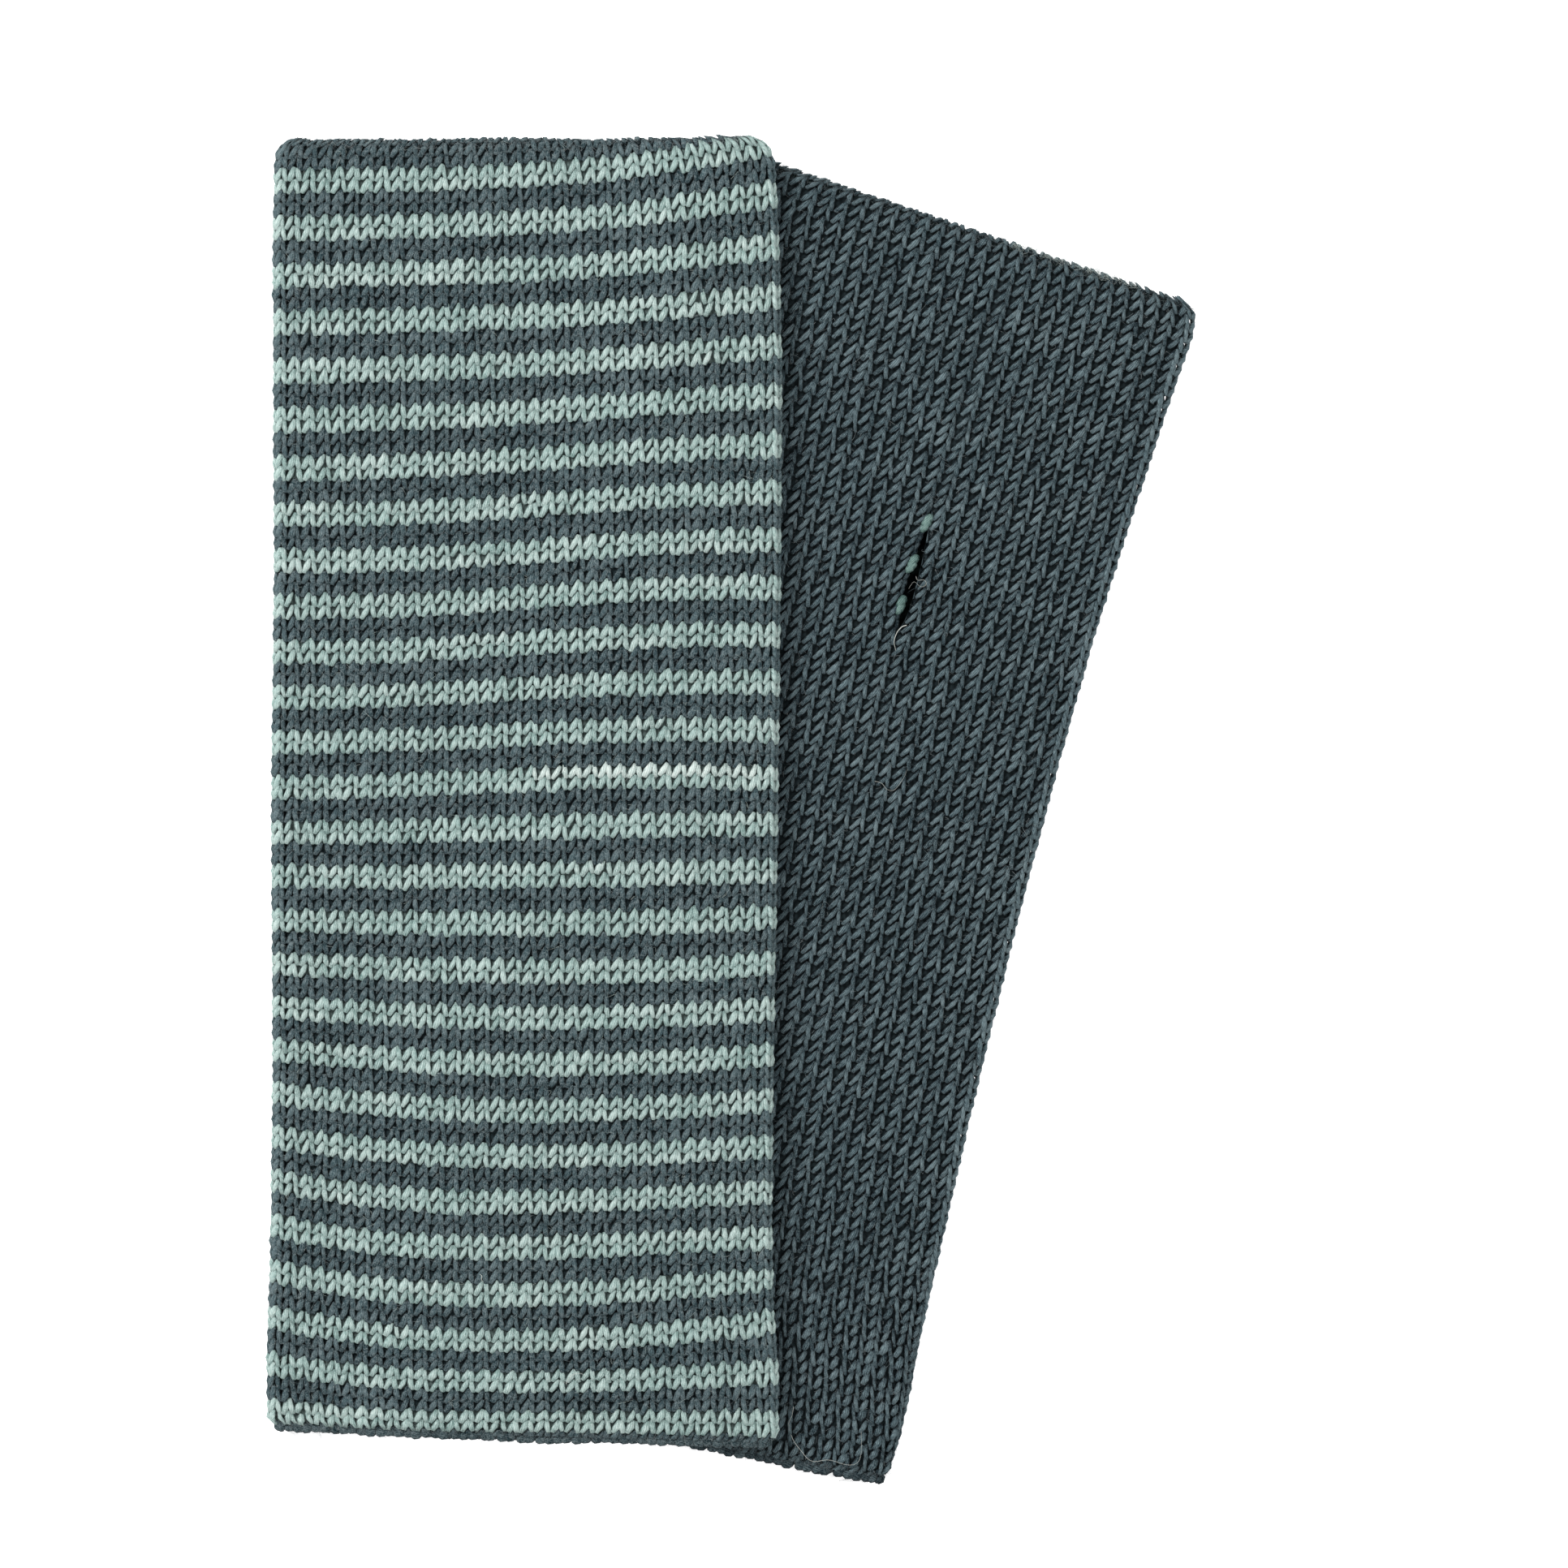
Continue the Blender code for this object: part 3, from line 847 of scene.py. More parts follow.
def stitch_grid(warmer, from_around, to_around):
    """Rows and places of every stitch between two shares of the girth."""
    rows = np.arange(FIRST_ROW[warmer.name], LAST_ROW[warmer.name])
    places = np.arange(round(from_around * warmer.wales), round(to_around * warmer.wales))
    grid_rows, grid_places = np.meshgrid(rows, places, indexing="ij")
    grid_rows, grid_places = grid_rows.ravel(), grid_places.ravel().astype(float)
    up = ROW_HEIGHT[warmer.name](grid_rows + 0.5, (grid_places + 0.5) / warmer.wales)
    past = np.maximum(up - top_of(warmer), warmer.hem - up) + ROLL_RADIUS
    shown = past < ROLL_LIMIT * ROLL_RADIUS
    return grid_rows[shown], grid_places[shown]


def is_mint(rows):
    """Two rows in four are mint, from the first stripe down. The rows over the fold are slate."""
    return (np.mod(rows + 1, ROWS_PER_STRIPE) < 2) & (rows > -2)


def not_mint(rows):
    """The other rows are slate."""
    return ~is_mint(rows)


def finish_piece(piece, material):
    """Gives a piece its finish and lets it ride on the part."""
    piece.data.materials.append(material)
    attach(piece, "root")
    print(piece.name, triangles_in(piece), "triangles")
    return piece


print("mint rows:", int(is_mint(np.arange(0, 112)).sum()))

# %% [markdown]
# ## The ground cloth
#
# Between the legs of the stitches the eye falls on the backs of other loops. A thin shell just
# under the stitches closes those gaps and carries the colour of its row, darkened with painted
# shade. It is an open surface given its thickness by Solidify.

# %% A thin shell under the stitches
# raised: how much nearer the face the cloth lies where it rolls over an end
Layer = namedtuple("Layer", "depth wall roll raised columns rows")
FACE = Layer(depth=1.00 * MM, wall=0.40 * MM, roll=2.1, raised=0.50 * MM, columns=60, rows=72)
LINING = Layer(depth=LINING_DEPTH + 0.1 * MM, wall=0.9 * MM, roll=-0.15, raised=0.0, columns=40, rows=48)
SLIT_STEPS = 12
END_STEPS = 5
TINY = 1e-6


def row_at(warmer, around, up):
    """The row of stitches at a height: row heights fall evenly enough to read backwards."""
    rows = np.arange(FIRST_ROW[warmer.name] - 4, LAST_ROW[warmer.name] + 5, 2.0)
    result = np.zeros(len(up))
    for column in np.unique(np.round(around, 9)):
        here = np.abs(around - column) < 1e-8
        heights = ROW_HEIGHT[warmer.name](rows, column)
        result[here] = np.interp(-up[here], -heights, rows)
    return result


def ring_heights(warmer, layer):
    """Heights of a layer's rings, closer where it rolls over an end, and how far each is past
    the straight part. roll is in radians over each rim."""
    slit = warmer.slit
    low_straight, high_straight = warmer.hem + ROLL_RADIUS, top_of(warmer) - ROLL_RADIUS
    low = low_straight - ROLL_RADIUS * layer.roll
    high = high_straight + ROLL_RADIUS * layer.roll
    below = np.linspace(low_straight, slit.low, round(layer.rows * (slit.low - low) / (high - low)))
    above = np.linspace(slit.high, high_straight, round(layer.rows * (high - slit.high) / (high - low)))
    rolled = np.linspace(0.0, 1.0, END_STEPS + 1)[:-1]
    heights = np.concatenate((
        low + (low_straight - low) * rolled, below[:-1],
        np.linspace(slit.low, slit.high, SLIT_STEPS + 1),
        above[1:], high - (high - high_straight) * rolled[::-1]))
    return heights, np.maximum(low_straight - heights, heights - high_straight)


def ground_cloth(name, warmer, layer):
    """One layer of a warmer as a tube with its thumb slit."""
    slit, line = warmer.slit, slit_around(warmer)
    heights, past = ring_heights(warmer, layer)
    rings, columns = len(heights), layer.columns
    around = np.arange(columns) / columns
    seam = int(np.argmin(np.abs(around - line)))
    around = around + (line - around[seam])
    depth = layer.depth - layer.raised * ease(past / (0.8 * ROLL_RADIUS))
    far_lip = 1.0 if slit.panel == "upper" else -1.0
    lip = np.where(np.mod(around, 1.0) <= line + TINY, -far_lip, far_lip)
    grid = on_warmer(warmer, around[None, :], heights[:, None], depth[:, None], lip[None, :])
    # along the slit, the points on its line are doubled: one for each lip
    inside = (heights > slit.low + TINY) & (heights < slit.high - TINY)
    doubled = on_warmer(warmer, line, heights[inside], layer.depth, far_lip)
    points = np.concatenate((grid.reshape(-1, 3), doubled))
    before = np.arange(rings * columns).reshape(rings, columns)
    after = before.copy()
    after[inside, seam] = rings * columns + np.arange(inside.sum())
    following = np.roll(np.arange(columns), -1)
    faces = np.stack((after[:-1], before[:-1, following], before[1:, following], after[1:]), axis=-1)
    full_around = np.concatenate((np.tile(around, rings), np.full(inside.sum(), line)))
    full_up = np.concatenate((np.repeat(heights, columns), heights[inside]))
    values = {"row": row_at(warmer, full_around, full_up), "wale": full_around * warmer.wales}
    piece = add_mesh(name, points, faces.reshape(-1, 4).tolist(), values)
    shell = piece.modifiers.new("knitting thickness", "SOLIDIFY")
    shell.thickness, shell.offset = layer.wall, -1.0
    return piece


# %% Finish of the ground cloth
def ground_mint_share(tree, row):
    """1 in the rows that are mint and 0 in the others, as is_mint says for the stitches."""
    cycle = calculate(tree, "MULTIPLY", calculate(tree, "ADD", row, 1.0), 1 / ROWS_PER_STRIPE)
    in_stripe = calculate(tree, "LESS_THAN", calculate(tree, "FRACT", cycle), 0.5)
    return calculate(tree, "MULTIPLY", in_stripe, calculate(tree, "GREATER_THAN", row, -1.0))


def ground_material(name, pale, deep, striped, light):
    """Loops seen between the stitches, in the colour of their row, with soft bumps. The colour is
    darkened as painted shade: light scales it down, and between the ribs it falls to half of that.
    """
    material, tree, shader = new_wool(name)
    row, wale = read_value(tree, "row"), read_value(tree, "wale")
    vees = calculate(tree, "PINGPONG", wale, 0.5)
    across_rows = calculate(tree, "ADD", row, calculate(tree, "MULTIPLY", vees, 1.6))
    ribs = calculate(tree, "SINE", calculate(tree, "MULTIPLY", across_rows, 2 * math.pi))
    grain = add_node(tree, "ShaderNodeTexNoise", Scale=2400.0, Detail=2.0).outputs["Fac"]
    colour = blend_colours(tree, grain, deep.deep, deep.body)
    if striped:
        mint = blend_colours(tree, grain, pale.deep, pale.body)
        colour = blend_colours(tree, ground_mint_share(tree, row), colour, mint)
    shadow = add_node(tree, "ShaderNodeMapRange", Value=ribs, From_Min=-1.0, From_Max=1.0,
                      To_Min=0.5 * light, To_Max=light).outputs[0]
    colour = blend_colours(tree, 1.0, colour, shadow, kind="MULTIPLY")
    tree.links.new(colour, shader.inputs["Base Color"])
    relief = calculate(tree, "ADD", ribs, grain)
    bump = add_node(tree, "ShaderNodeBump", Height=relief, Strength=0.8, Distance=0.3 * MM)
    tree.links.new(bump.outputs[0], shader.inputs["Normal"])
    return material


# painted shade: light darkens each ground, most of all the plain warmer's lining, seen only inside it
striped_ground = ground_material("striped_ground_knit", MINT, SLATE, striped=True, light=0.55)
shaded_inner_striped = ground_material("shaded_inner_striped_knit", SHADED_MINT, SLATE, striped=True, light=0.10)
plain_ground = ground_material("plain_ground_knit", PLAIN_SLATE, PLAIN_SLATE, striped=False, light=0.30)

# %% [markdown]
# ## The striped warmer
#
# Its face is two pieces of stitches for each yarn, because the upper side needs finer legs than
# the side it lies on. The lining is slate all over and shows only at the mouths.

# %% Striped face and lining
striped_face = ground_cloth("striped_warmer_face_cloth", STRIPED, FACE)
finish_piece(striped_face, striped_ground)
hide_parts("striped_warmer_face")
striped_lining = ground_cloth("striped_warmer_lining_cloth", STRIPED, LINING)
finish_piece(striped_lining, plain_ground)
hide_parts("striped_warmer_lining")

# %% Stitches of the striped face
TOP_SIDE = (-0.055, 0.555)            # the upper panel and both side folds
UNDER_SIDE = (0.555, 0.945)
STRIPED_VEES = (STRIPED_STITCH, EVEN_STITCH)
PLAIN_VEES = (PLAIN_STITCH, KNOTTED_STITCH)


def knit_rows(name, warmer, shapes, side, chosen, detail, material, keep=None):
    """Stitches of one yarn on one side of a warmer, as one finished piece."""
    rows, places = stitch_grid(warmer, *side)
    used = chosen(rows)
    if keep is not None:
        used = used & keep(rows, places)
    piece = knit(name, warmer, *shapes, rows[used], places[used], detail)
    return finish_piece(piece, material)


striped_stitches = [
    knit_rows("striped_face_mint_stitches", STRIPED, STRIPED_VEES, TOP_SIDE, is_mint, FINE,
              mint_yarn),
    knit_rows("striped_face_slate_stitches", STRIPED, STRIPED_VEES, TOP_SIDE, not_mint, FINE,
              slate_yarn),
    knit_rows("striped_underside_mint_stitches", STRIPED, STRIPED_VEES, UNDER_SIDE, is_mint, COARSE,
              mint_yarn),
    knit_rows("striped_underside_slate_stitches", STRIPED, STRIPED_VEES, UNDER_SIDE, not_mint, COARSE,
              slate_yarn),
]

# %% [markdown]
# ## The plain warmer
#
# Fine stitches go only where the striped warmer doesn't cover it, with a margin under the fold
# that lies on it. Under the cover the ground cloth is enough.

# %% Plain face and lining
plain_face = ground_cloth("plain_warmer_face_cloth", PLAIN, FACE)
finish_piece(plain_face, plain_ground)
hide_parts("plain_warmer_face")
plain_lining = ground_cloth("plain_warmer_lining_cloth", PLAIN, LINING)
finish_piece(plain_lining, shaded_inner_striped)
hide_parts("plain_warmer_lining")

# %% Stitches of the plain face
COVER_MARGIN = 9.0 * MM


def every_row(rows):
    """All rows are of one yarn."""
    return np.ones(len(rows), dtype=bool)


def in_sight(around, up, margin=0.0):
    """Places of the plain warmer that aren't under the striped one, or only just are."""
    spot = on_warmer(PLAIN, around, up, 0.0)
    side, along = to_warmer(STRIPED, spot[:, 0], spot[:, 1])
    _, right, _ = section_at(STRIPED_SECTIONS, np.clip(along, 0.0, length_of(STRIPED)))
    past_end = (along < margin) | (along > length_of(STRIPED) - margin)
    return (side > right - margin) | past_end


def is_uncovered(rows, places):
    """Stitches of the plain warmer that the striped one leaves in sight."""
    around = (places + 0.5) / PLAIN.wales
    up = plain_row_height(rows, around)
    return in_sight(around + wale_drift(PLAIN, up), up, COVER_MARGIN)


plain_stitches = [
    knit_rows("plain_face_stitches", PLAIN, PLAIN_VEES, TOP_SIDE, every_row, FINE,
              plain_yarn, keep=is_uncovered),
    knit_rows("plain_underside_stitches", PLAIN, PLAIN_VEES, UNDER_SIDE, every_row, COARSE,
              plain_yarn),
]

# %% [markdown]
# ## Cast-off rims
#
# The last row is bound off in a chain, which shows as a line of beads along the lower edge. Each
# bead is one short fat leg laid along the edge and tucked under the next one.

# %% A chain of bound-off stitches round the lower mouth
ROUND_LEG = LegDetail(rings=(0.07, 0.30, 0.70, 0.93), fatness=(0.60, 1.0, 1.0, 0.55), sides=6)
# beads: how many go round. radius and reach: half a bead's width and how long it is, in beads.
# sag: where the rim hangs lower, as place across, how far it spreads, and how much, all in mm
Rim = namedtuple("Rim", "beads radius reach sag")
STRIPED_RIM = Rim(beads=112, radius=0.80, reach=1.40, sag=((5.0, 6.0, 0.6), (-11.0, 4.5, 0.2)))
PLAIN_RIM = Rim(beads=102, radius=0.88, reach=1.35, sag=((30.0, 9.0, 0.2),))
RIM_HEIGHT = 0.90 * MM                # of a bead's middle, above the lower edge
BEAD_FLATNESS = 1.05                  # how thick a bead is for half its width
BEAD_SPREAD = 1.2                     # how wide it is, along the warmer, for half its width
BEAD_TUCK = 0.5 * MM                  # how much deeper one end is than the other
BEAD_TILT = 0.35 * MM                 # and how much higher


def rim_point(warmer, around, up, depth):
    """A point just below the cloth: placed as on the lowest ring and slid down to its height."""
    straight = warmer.hem + ROLL_RADIUS
    spot = on_warmer(warmer, around, straight, depth)
    drop = up - straight
    spot[..., 0] += drop * math.sin(warmer.lean)
    spot[..., 1] += drop * math.cos(warmer.lean)
    return spot


def bound_off_rim(name, warmer, rim, material):
    """Beads round the mouth, in the middle of the double wall."""
    share, angle, fatness = leg_template(ROUND_LEG)
    one_each = (rim.beads, 1)
    bead = (np.arange(rim.beads)[:, None] + 0.12 * random.normal(size=one_each)) / rim.beads
    chance = random.random(one_each)
    fat = rim.radius * MM * random.normal(1.0, 0.10, one_each)
    around = bead + rim.reach * (share - 0.5) / rim.beads
    depth = ROLL_RADIUS - BEAD_FLATNESS * fat * fatness * np.sin(angle) + BEAD_TUCK * (share - 0.5)
    up = RIM_HEIGHT + BEAD_SPREAD * fat * fatness * np.cos(angle) + BEAD_TILT * (share - 0.5)
    up = up + 0.08 * MM * random.normal(size=one_each)
    place = (4 * np.mod(bead, 1.0) - 1) * half_girth(warmer) / 2
    for middle, spread, drop in rim.sag:
        up = up - drop * MM * np.exp(-(((place / MM - middle) / spread) ** 2))
    # painted shade: beads tucked up under the cloth and the undersides of all beads get a low height,
    # which the material darkens
    out = np.clip(1.0 - (up - RIM_RADIUS) / (1.3 * MM), 0.0, 1.0)
    height = 0.1 + 0.6 * out * (0.5 + 0.5 * np.sin(angle))
    values = leg_values(share, angle, chance, 0.4 * chance, height)
    piece = add_mesh(name, rim_point(warmer, around, up, depth), leg_faces(rim.beads, ROUND_LEG), values)
    return finish_piece(piece, material)


striped_rim = bound_off_rim("striped_warmer_bound_edge", STRIPED, STRIPED_RIM, slate_yarn)
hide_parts("striped_warmer_rim")
plain_rim = bound_off_rim("plain_warmer_bound_edge", PLAIN, PLAIN_RIM, plain_yarn)
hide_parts("plain_warmer_rim")

# %% [markdown]
# ## The lips of the thumb slit
#
# The two layers are joined along the slit, and on its left side the lining rolls out over the
# edge. Its mint rows show there as three bright bits, one for each stripe.

# %% Rolled lips
# side: -1 is left. aside: from the slit's line. reach and radius: half the length and width of a
# stitch. depth: of its middle. All in mm.
Lip = namedtuple("Lip", "side aside reach radius depth")
LEFT_LIP = Lip(side=-1, aside=0.45, reach=1.25, radius=0.58, depth=0.90)
MINT_LIP = Lip(side=-1, aside=0.15, reach=1.50, radius=0.86, depth=0.50)
RIGHT_LIP = Lip(side=1, aside=0.60, reach=1.25, radius=0.55, depth=1.25)
LIP_STEP = 1.55                       # from one stitch of a lip to the next
MINT_BITS = (168.9, 177.2, 185.6)     # middles of the lining's mint rows, in mm up the warmer
BIT_STEPS = (-0.6, 0.6)               # each has two stitches
BIT_HALF = 1.6                        # slate stitches keep this far from a middle


def lip_stitches(name, lip, heights, slant, material):
    """Stitches lying along one lip. slant is how far each one leans away from the slit, in mm."""
    share, angle, fatness = leg_template(ROUND_LEG)
    count = len(heights)
    chance = random.random((count, 1))
    radius = lip.radius * MM * random.normal(1.0, 0.08, (count, 1))
    up = np.asarray(heights)[:, None] * MM + (share - 0.5) * 2 * lip.reach * MM
    from_slit = lip.aside * MM + slant * MM * (0.5 - share) + radius * fatness * np.cos(angle)
    around = slit_around(PLAIN) + lip.side * from_slit / (2 * half_girth(PLAIN))
    depth = lip.depth * MM - 0.9 * radius * fatness * np.sin(angle)
    world = on_warmer(PLAIN, around, up, depth, float(lip.side))
    # painted shade: a low height darkens each lip stitch towards its underside and its thin ends
    height = 0.12 + 0.5 * fatness * (0.4 + 0.6 * np.sin(angle))
    values = leg_values(share, angle, chance, 0.3 * chance, height)
    return finish_piece(add_mesh(name, world, leg_faces(count, ROUND_LEG), values), material)


lip_heights = np.arange(PLAIN.slit.low / MM + 0.6, PLAIN.slit.high / MM, LIP_STEP)
to_bit = np.min(np.abs(lip_heights[:, None] - np.array(MINT_BITS)), axis=1)
bit_heights = np.array([middle + step for middle in MINT_BITS for step in BIT_STEPS])
slit_lips = [
    lip_stitches("slit_left_lip_mint_stitches", MINT_LIP, bit_heights, 0.8, shaded_mint_yarn),
    lip_stitches("slit_left_lip_slate_stitches", LEFT_LIP, lip_heights[to_bit > BIT_HALF], 0.5,
                 plain_yarn),
    lip_stitches("slit_right_lip_stitches", RIGHT_LIP, lip_heights, 0.4, plain_yarn),
]

# %% [markdown]
# ## Fuzz
#
# Wool is never smooth. Single fibres stand off the yarn all over, and they soften the outline of
# the whole object. Each hair is a thin three-sided strand that leaves the cloth and curls, and
# all the hairs of one colour are one mesh.

# %% Strands along paths
def strand_mesh(name, paths, radii, material):
    """Three-sided strands along many paths at once, tapering towards the far end."""
    steps = paths.shape[1]
    ahead = np.gradient(paths, axis=1)
    ahead /= np.linalg.norm(ahead, axis=2, keepdims=True) + 1e-12
    sideways = np.cross(ahead, np.array((0.31, -0.52, 0.79)))
    sideways /= np.linalg.norm(sideways, axis=2, keepdims=True) + 1e-12
    other = np.cross(ahead, sideways)
    reach = radii[:, None, None] * np.linspace(1.0, 0.35, steps)[None, :, None]
    turns = [2 * math.pi * corner / 3 for corner in range(3)]
    corners = [paths + (math.cos(turn) * sideways + math.sin(turn) * other) * reach for turn in turns]
    points = np.stack(corners, axis=2)
    index = np.arange(points.shape[0] * steps * 3).reshape(-1, steps, 3)
    faces = []
    for corner in range(3):
        after = (corner + 1) % 3
        faces += np.stack((index[:, :-1, corner], index[:, :-1, after],
                           index[:, 1:, after], index[:, 1:, corner]), axis=-1).reshape(-1, 4).tolist()
    faces += index[:, 0, ::-1].reshape(-1, 3).tolist() + index[:, -1].reshape(-1, 3).tolist()
    return finish_piece(add_mesh(name, points, faces, {}), material)


def hair_material(name, colour):
    """A fibre: a little glossy, and darker here and there."""
    material, tree, shader = new_wool(name, roughness=0.6, sheen=0.2)
    noise = add_node(tree, "ShaderNodeTexNoise", Scale=900.0, Detail=1.0).outputs["Fac"]
    darker = tuple(0.5 * part for part in colour[:3]) + (1.0,)
    tree.links.new(blend_colours(tree, noise, darker, colour), shader.inputs["Base Color"])
    return material


pale_fibre = hair_material("pale_wool_fibre", (0.46, 0.54, 0.51, 1.0))
stray_fibre = hair_material("stray_wool_fibre", (0.52, 0.54, 0.50, 1.0))
grey_fibre = hair_material("grey_wool_fibre", (0.21, 0.25, 0.26, 1.0))
dark_fibre = hair_material("dark_wool_fibre", (0.085, 0.115, 0.125, 1.0))

# %% Hairs standing off the knitting
HAIR_STEPS = 5
HAIR_RADIUS = 0.024 * MM
HAIR_LENGTH, LONGEST_HAIR = 0.95 * MM, 3.0 * MM
ROOT_DEPTH = 0.35 * MM                # where a hair leaves the yarn
HAIR_RISE, HAIR_FLATNESS = 0.12, 0.8  # how much it points outwards, and how flat it lies
CURL, MOST_CURL = 1.5, 1.3
TABLE_GAP = 0.08 * MM                 # a hair stays this far off the table


def outward_part(vectors, outwards):
    """How far each vector points away from the cloth."""
    return np.sum(vectors * outwards, axis=1, keepdims=True)


def hair_paths(warmer, around, up, length, lift):
    """Curved paths that leave the face at given places and lie down along it."""
    count = len(around)
    root = on_warmer(warmer, around, up, ROOT_DEPTH)
    outwards = (on_warmer(warmer, around, up, ROOT_DEPTH - MM) - root) / MM
    heading = random.normal(size=(count, 3))
    heading /= np.linalg.norm(heading, axis=1, keepdims=True)
    heading = heading + outwards * (HAIR_RISE - HAIR_FLATNESS * outward_part(heading, outwards))
    curl = np.clip(random.normal(size=(count, 3)), -MOST_CURL, MOST_CURL) * CURL
    curl = curl - outwards * outward_part(curl, outwards)
    share = np.linspace(0.0, 1.0, HAIR_STEPS)[None, :, None]
    bend = np.sin(share * random.uniform(2.0, 5.0, (count, 1, 1)))
    run = length[:, None, None] * (heading[:, None] * share + 0.35 * curl[:, None] * bend)
    path = root[:, None] + run + outwards[:, None] * lift[:, None, None] * np.sin(share * 2.4)
    path[..., 2] = np.maximum(path[..., 2], TABLE_GAP)
    return path


def grow_fuzz(name, warmer, count, spread, material, keep=None, heights=None):
    """Hairs scattered over one part of a warmer's face. spread: from and to, as shares of the
    girth. heights: from and to. keep says which places have hairs."""
    low, high = heights or (0.6 * MM, length_of(warmer) + 0.6 * MM)
    around = random.uniform(*spread, count)
    up = random.uniform(low, high, count)
    length = np.minimum(random.lognormal(math.log(HAIR_LENGTH), 0.45, count), LONGEST_HAIR)
    lift = random.uniform(0.30, 0.80, count) * MM
    if keep is not None:
        kept = keep(around, up)
        around, up, length, lift = around[kept], up[kept], length[kept], lift[kept]
    paths = hair_paths(warmer, around, up, length, lift)
    radii = HAIR_RADIUS * random.uniform(0.6, 1.3, len(around))
    return strand_mesh(f"{warmer.name}_{name}", paths, radii, material)


# %% Where the fuzz grows
OVER_TOP = (-0.03, 0.53)              # the upper panel and the outer halves of the folds
LEFT_FOLD, RIGHT_FOLD = (-0.035, 0.02), (0.48, 0.535)
PALE_EDGE = (0.30, 0.44)              # where light hairs show along the plain warmer's upper edge
STRIPED_ROW = 2.235 * MM              # about one row's height
HAIRS_ON_MINT = 0.25                  # the share of grey hairs that cross a mint row all the same


def at_slate(around, up):
    """Places of the striped warmer where the rows are slate, and a few others."""
    rows = (length_of(STRIPED) - up) / STRIPED_ROW
    for _ in range(3):
        rows = rows + (striped_row_height(rows, around) - up) / STRIPED_ROW
    return not_mint(np.floor(rows)) | (random.random(len(up)) < HAIRS_ON_MINT)


def top_edge(warmer, depth):
    """Heights from a little under the upper edge to just past it."""
    return length_of(warmer) - depth, length_of(warmer) + 1.2 * MM


striped_fuzz = [
    grow_fuzz("grey_fuzz", STRIPED, 5600, OVER_TOP, grey_fibre, keep=at_slate),
    grow_fuzz("pale_fuzz", STRIPED, 1900, OVER_TOP, pale_fibre),
    grow_fuzz("left_edge_fuzz", STRIPED, 1000, LEFT_FOLD, grey_fibre),
    grow_fuzz("right_edge_fuzz", STRIPED, 700, RIGHT_FOLD, grey_fibre),
    grow_fuzz("top_edge_fuzz", STRIPED, 700, OVER_TOP, grey_fibre, heights=top_edge(STRIPED, 2.0 * MM)),
    grow_fuzz("hem_fuzz", STRIPED, 880, OVER_TOP, dark_fibre, heights=(-0.4 * MM, 2.0 * MM)),
]
plain_fuzz = [
    grow_fuzz("dark_fuzz", PLAIN, 2200, OVER_TOP, dark_fibre, keep=in_sight),
    grow_fuzz("grey_fuzz", PLAIN, 3900, OVER_TOP, grey_fibre, keep=in_sight),
    grow_fuzz("right_edge_fuzz", PLAIN, 1080, RIGHT_FOLD, dark_fibre),
    grow_fuzz("top_edge_fuzz", PLAIN, 700, OVER_TOP, dark_fibre, keep=in_sight,
              heights=top_edge(PLAIN, 2.0 * MM)),
    grow_fuzz("top_edge_pale_fuzz", PLAIN, 350, PALE_EDGE, pale_fibre, heights=top_edge(PLAIN, 0.4 * MM)),
    grow_fuzz("hem_fuzz", PLAIN, 1200, OVER_TOP, dark_fibre, keep=in_sight,
              heights=(-0.3 * MM, 2.0 * MM)),
]

# %% [markdown]
# A few single fibres are longer and caught the eye, so each has its own place: a long curl near
# the plain warmer's lower corner, a white one below the slit, and some small loops.

# %% Stray fibres, one by one
# points are x and y on the table in mm, along the fibre
Stray = namedtuple("Stray", "name warmer lift radius points")
STRAYS = (
    Stray(name="long_curl_at_hem", warmer=PLAIN, lift=0.45, radius=0.055, points=(
        (11.4, -120.6), (12.0, -122.4), (13.5, -123.6), (14.4, -125.5), (16.0, -126.3), (17.9, -125.2),
        (19.4, -125.5), (21.6, -126.5), (24.3, -126.7), (24.9, -125.7), (25.1, -123.3), (25.0, -120.0))),
    Stray(name="white_fibre_below_slit", warmer=PLAIN, lift=0.55, radius=0.10, points=(
        (33.8, 36.1), (32.9, 35.9), (32.0, 34.9), (31.5, 33.7), (31.3, 32.8), (31.7, 31.2))),
    Stray(name="loop_in_slit", warmer=PLAIN, lift=0.50, radius=0.040, points=(
        (35.6, 45.6), (35.8, 44.6), (36.4, 44.9), (37.3, 45.0), (37.8, 44.3), (37.3, 43.5),
        (36.3, 43.5), (35.8, 44.2), (35.2, 44.8), (34.2, 43.2))),
    Stray(name="wavy_fibre_on_plain", warmer=PLAIN, lift=0.45, radius=0.040, points=(
        (27.6, 5.9), (29.1, 5.6), (29.9, 4.2), (31.4, 4.0), (33.2, 6.4), (34.0, 8.3))),
    Stray(name="brown_fibre_at_hem", warmer=PLAIN, lift=0.45, radius=0.045, points=(
        (11.9, -115.2), (11.6, -117.0), (10.9, -118.4), (11.1, -119.9))),
    Stray(name="arc_on_stripe", warmer=STRIPED, lift=0.55, radius=0.060, points=(
        (-32.0, -110.4), (-31.4, -109.0), (-30.5, -108.4), (-29.1, -108.3), (-27.9, -109.0))),
    Stray(name="white_fleck_on_stripe", warmer=STRIPED, lift=0.50, radius=0.075, points=(
        (-48.6, -89.2), (-48.2, -89.5), (-48.3, -90.3), (-47.9, -90.7))),
)


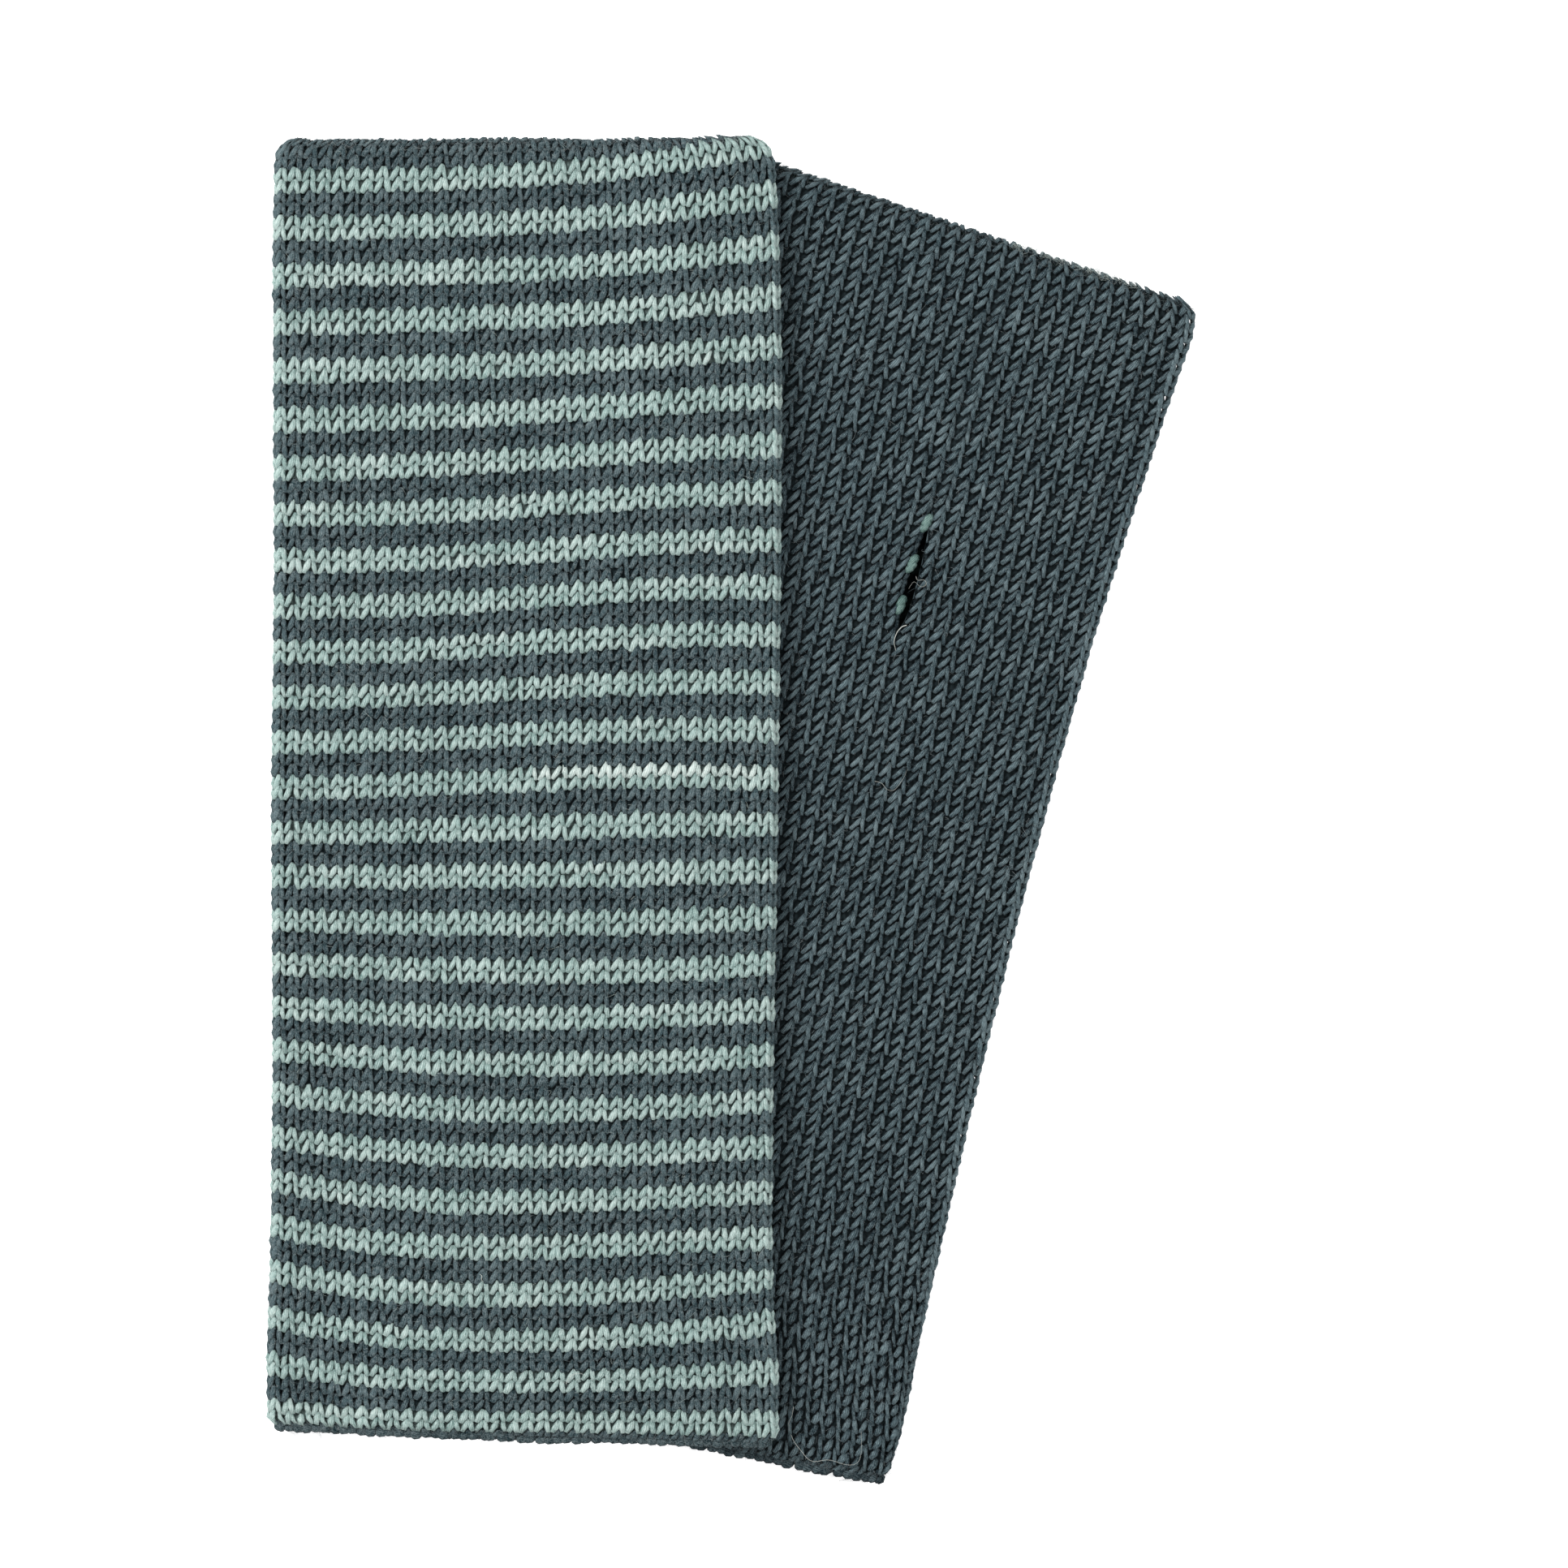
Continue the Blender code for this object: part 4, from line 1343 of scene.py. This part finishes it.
def stray_path(stray, steps=26):
    """A smooth path through a stray fibre's points, just above the cloth."""
    points = np.array(stray.points) * MM
    length = np.concatenate(([0.0], np.cumsum(np.linalg.norm(np.diff(points, axis=0), axis=1))))
    share = np.linspace(0.0, length[-1], steps)
    path = np.stack([np.interp(share, length, points[:, axis]) for axis in (0, 1)], axis=1)
    for _ in range(3):
        path[1:-1] = (path[:-2] + 2 * path[1:-1] + path[2:]) / 4
    height = np.full(steps, THICKNESS)
    if stray.warmer.climbs:
        side, up = to_warmer(STRIPED, path[:, 0], path[:, 1])
        height = height + draped_height(side, up)
    return np.column_stack((path, height + stray.lift * MM))


for stray in STRAYS:
    radii = np.array([stray.radius * MM])
    piece = strand_mesh(stray.name, stray_path(stray)[None], radii, stray_fibre)
    (striped_fuzz if stray.warmer.climbs else plain_fuzz).append(piece)

# %% [markdown]
# ## What each sheet of cloth was
#
# Each tube is one sheet of knitting, as wide as its girth and as long as the warmer.


# %% [markdown]
# ## Table, light and camera
#
# The pair lies on a white table under one large soft light from the upper left, with a weaker
# one opposite. The camera looks straight down through a long lens, so nothing converges.

# %% Table
TABLE_SIZE = 3.0
TABLE_HEIGHT = -0.05 * MM             # just clear of the yarn that lies on it
WHITE = (1.0, 1.0, 1.0, 1.0)
bpy.ops.mesh.primitive_plane_add(size=TABLE_SIZE, location=(0.0, 0.0, TABLE_HEIGHT))
table_top = bpy.context.object
table_top.name = "table_top"
table_finish = bpy.data.materials.new("white_table")
table_finish.use_nodes = True
table_shader = table_finish.node_tree.nodes["Principled BSDF"]
table_shader.inputs["Base Color"].default_value = (0.92, 0.92, 0.92, 1.0)
table_shader.inputs["Roughness"].default_value = 0.85
table_shader.inputs["Specular IOR Level"].default_value = 0.1
# a sheet of white plastic, lit from below as well, so that no shadow dirties it
table_shader.inputs["Emission Color"].default_value = WHITE
table_shader.inputs["Emission Strength"].default_value = 0.40
table_top.data.materials.append(table_finish)
table_top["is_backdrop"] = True


# %% Lights
def soft_light(name, place, size, power):
    """A square area light pointing at the middle of the pair."""
    data = bpy.data.lights.new(name, "AREA")
    data.shape, data.size, data.energy = "SQUARE", size, power
    light = bpy.data.objects.new(name, data)
    light.location = place
    light.rotation_euler = (-Vector(place)).to_track_quat("-Z", "Y").to_euler()
    bpy.context.scene.collection.objects.link(light)
    return light


soft_light("key_light", place=(-0.80, 0.65, 0.95), size=0.70, power=23.0)
soft_light("fill_light", place=(0.7, -0.3, 1.1), size=1.0, power=6.0)
world = bpy.data.worlds.new("soft_room")
world.use_nodes = True
room_light = world.node_tree.nodes["Background"]
room_light.inputs["Color"].default_value = WHITE
room_light.inputs["Strength"].default_value = 0.90
bpy.context.scene.world = world
bpy.context.scene.view_settings.view_transform = "Standard"

# %% Camera
VIEW_WIDTH = 303.7 * MM               # what the frame takes in at the height of the cloth
VIEW_MIDDLE = (10.05 * MM, 5.37 * MM)
CAMERA_HEIGHT = 1.7
SENSOR = 36.0                         # mm, as the lens below
camera_data = bpy.data.cameras.new("camera")
camera_data.sensor_width = SENSOR
camera_data.lens = SENSOR * (CAMERA_HEIGHT - THICKNESS) / VIEW_WIDTH
camera = bpy.data.objects.new("camera", camera_data)
camera.location = (*VIEW_MIDDLE, CAMERA_HEIGHT)
bpy.context.scene.collection.objects.link(camera)
bpy.context.scene.camera = camera
print("lens", round(camera_data.lens, 1), "mm")

# %% [markdown]
# ## Triangles in all
#
# The triangles of all shown pieces are counted.

# %% Triangles in all
total = sum(triangles_in(piece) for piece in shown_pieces() if piece.type == "MESH")
print("triangles in all:", total)
